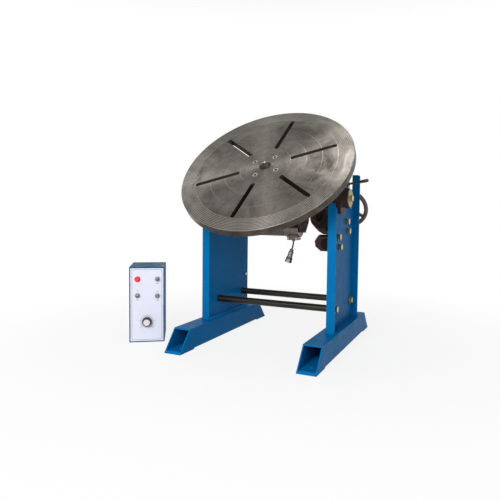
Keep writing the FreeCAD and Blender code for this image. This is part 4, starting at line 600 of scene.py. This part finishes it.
def dial_numbers():
    """Plain even numbers from 0 to 10 round the speed dial."""
    for number in range(0, DIAL_TOP + 1, 2):
        turn = dial_turn(number)
        text = bpy.data.curves.new("dial_number_%d" % number, "FONT")
        text.body = str(number)
        text.size = NUMBER_SIZE
        text.extrude = PRINT_T / 2
        text.align_x = "CENTER"
        text.align_y = "CENTER"
        right, up = -NUMBER_R * math.sin(turn), NUMBER_R * math.cos(turn)
        linked(text.name, text, INK, "control_box", panel_matrix(right, up, PRINT_T / 2))


def knob_cap():
    """A spun aluminium cap on the end of the speed knob."""
    shape = bmesh.new()
    lathe(shape, [(CAP_R - inward * MM, height * MM) for inward, height in CAP_PROFILE])
    shape.transform(panel_matrix(0, 0, node_span("speed_knob", PANEL_OUT, PANEL_FACE)[1]))
    mesh_piece("knob_cap", shape, SPUN_CAP, "speed_knob")


def toggle_place(name):
    """How far a toggle stands to the right of the knob's centre, and above it."""
    offset = joint_point(name + "_flip") - PANEL_FACE
    return offset.dot(PANEL_RIGHT), offset.dot(PANEL_UP)


def toggle_washer(name):
    """A serrated washer round the toggle's bush."""
    shape = bmesh.new()
    tooth = [WASHER_ROOT_R, WASHER_TIP_R, WASHER_TIP_R, WASHER_ROOT_R]
    flat_ring(shape, WASHER_BORE_R, tooth * WASHER_TEETH, WASHER_T)
    shape.transform(panel_matrix(*toggle_place(name), 0))
    mesh_piece(name + "_washer", shape, DULL_NICKEL, "control_box")


def toggle_marks(name):
    """A short printed stroke below the toggle, and on all but the power toggle one above it."""
    right, up = toggle_place(name)
    shape = bmesh.new()
    strokes = [LOWER_STROKE] if name == "power_toggle" else [LOWER_STROKE, UPPER_STROKE]
    for width, height, above in strokes:
        slab(shape, width, height, PRINT_T, (right, up + above))
    shape.transform(panel_matrix(0, 0, 0))
    mesh_piece(name + "_marks", shape, INK, "control_box")


# ---------------------------------------------------------------- motor lead
def motor_lead():
    """The short rubber lead that hangs from the motor's terminal box to its plug."""
    curve = bpy.data.curves.new("motor_lead_cord", "CURVE")
    curve.dimensions = "3D"
    spline = curve.splines.new("NURBS")
    spline.points.add(len(LEAD_ROUTE) - 1)
    for point, stop in zip(spline.points, LEAD_ROUTE):
        point.co = (*stop, 1)
    spline.order_u = 3
    spline.use_endpoint_u = True
    spline.resolution_u = 24
    curve.bevel_depth = LEAD_DIAMETER / 2
    curve.bevel_resolution = 8
    curve.use_fill_caps = True
    lead = linked("motor_lead_cord", curve, FINISHES["black_rubber"], "cradle")
    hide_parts("motor_lead")


panel_border()
dial_marks()
dial_numbers()
knob_cap()
for toggle in TOGGLES:
    toggle_washer(toggle)
    toggle_marks(toggle)
motor_lead()

# ---------------------------------------------------------------- studio
FLOOR_HALF = 12.0
FLOOR_COLOUR = (0.92, 0.92, 0.92, 1)
FLOOR_FADE = (0.45, 1.3)
FLOOR_WHITE = (0.84, 1.0)
SKY_FADE = (0.35, 0.8)
SKY_WHITE = (1.0, 0.42)
AMBIENT = 0.18
AT_MIDDLE = (0, 0, 0.35)
AT_TABLE = (0, -0.12, 0.62)
# Name, place, width and height, watts and what it is aimed at.
SOFTBOXES = (
    ("key", (0.15, -2.8, 1.45), (1.2, 1.2), 62, AT_MIDDLE),
    ("fill", (2.2, -1.6, 1.2), (1.6, 1.6), 8, AT_MIDDLE),
    ("overhead", (-0.15, 0.05, 2.6), (0.45, 0.45), 5.5, AT_TABLE),
    ("overhead_left", (-1.6, 0.1, 2.0), (0.4, 0.7), 1.2, AT_TABLE),
)
CAMERA_PLACE = (0.6758, -1.6108, 0.4669)
CAMERA_TURN = math.radians(23.88)
CAMERA_PITCH = math.radians(3.34)
CAMERA_ROLL = math.radians(0.71)
CAMERA_LENS = 34.96
CAMERA_SENSOR = 36
CAMERA_SHIFT = (-0.0378, -0.0229)


def seen_directly(tree):
    """1 for camera, glossy and transmission rays, which show the pale background as it is."""
    path = add(tree, "ShaderNodeLightPath")
    seen = maths(tree, "MAXIMUM", path.outputs["Is Camera Ray"], path.outputs["Is Glossy Ray"])
    return maths(tree, "MAXIMUM", seen, path.outputs["Is Transmission Ray"])


def studio_floor():
    """A pale floor that takes the contact shadows near the object and fades to white away from it."""
    mesh = bpy.data.meshes.new("studio_floor")
    corners = [(-FLOOR_HALF, -FLOOR_HALF, 0), (FLOOR_HALF, -FLOOR_HALF, 0),
               (FLOOR_HALF, FLOOR_HALF, 0), (-FLOOR_HALF, FLOOR_HALF, 0)]
    mesh.from_pydata(corners, [], [(0, 1, 2, 3)])
    floor = bpy.data.objects.new("studio_floor", mesh)
    bpy.context.scene.collection.objects.link(floor)
    material, tree, shader = new_finish("studio_floor")
    wire(tree, shader, FLOOR_COLOUR, 0.6)
    glow = add(tree, "ShaderNodeEmission", {"Color": (1, 1, 1, 1), "Strength": 1.0})
    white = span(tree, radius_of(tree, place(tree)), *FLOOR_FADE, *FLOOR_WHITE)
    blend = add(tree, "ShaderNodeMixShader", {0: maths(tree, "MULTIPLY", seen_directly(tree), white),
                                              1: shader.outputs[0], 2: glow.outputs[0]})
    tree.links.new(blend.outputs[0], tree.nodes["Material Output"].inputs["Surface"])
    floor.data.materials.append(material)


def studio_world():
    """White round the horizon, darker overhead, and dim as a light."""
    world = bpy.data.worlds.new("studio")
    world.use_nodes = True
    tree = world.node_tree
    back = tree.nodes["Background"]
    back.inputs["Color"].default_value = (1, 1, 1, 1)
    height = height_of(tree, add(tree, "ShaderNodeTexCoord").outputs["Generated"])
    shown = maths(tree, "MULTIPLY", seen_directly(tree), span(tree, height, *SKY_FADE, *SKY_WHITE))
    tree.links.new(maths(tree, "MAXIMUM", shown, AMBIENT), back.inputs["Strength"])
    bpy.context.scene.world = world


def softbox(name, at, size, power, aim):
    light = bpy.data.lights.new(name, "AREA")
    light.shape = "RECTANGLE"
    light.size, light.size_y = size
    light.energy = power
    made = bpy.data.objects.new(name, light)
    bpy.context.scene.collection.objects.link(made)
    made.location = at
    made.rotation_euler = (Vector(aim) - Vector(at)).to_track_quat("-Z", "Y").to_euler()


def camera():
    """The view that the object is usually shown from: low, from the front right."""
    level = math.cos(CAMERA_PITCH)
    forward = Vector((-math.sin(CAMERA_TURN) * level, math.cos(CAMERA_TURN) * level,
                      -math.sin(CAMERA_PITCH)))
    right = Vector((math.cos(CAMERA_TURN), math.sin(CAMERA_TURN), 0))
    up = right.cross(forward)
    side = right * math.cos(CAMERA_ROLL) + up * math.sin(CAMERA_ROLL)
    top = up * math.cos(CAMERA_ROLL) - right * math.sin(CAMERA_ROLL)
    data = bpy.data.cameras.new("camera")
    data.lens = CAMERA_LENS
    data.sensor_width = CAMERA_SENSOR
    data.shift_x, data.shift_y = CAMERA_SHIFT
    made = bpy.data.objects.new("camera", data)
    bpy.context.scene.collection.objects.link(made)
    turn = Matrix((side, top, -forward)).transposed().to_4x4()
    made.matrix_world = Matrix.Translation(CAMERA_PLACE) @ turn
    bpy.context.scene.camera = made


studio_floor()
studio_world()
for settings in SOFTBOXES:
    softbox(*settings)
camera()
bpy.context.scene.view_settings.view_transform = "Standard"
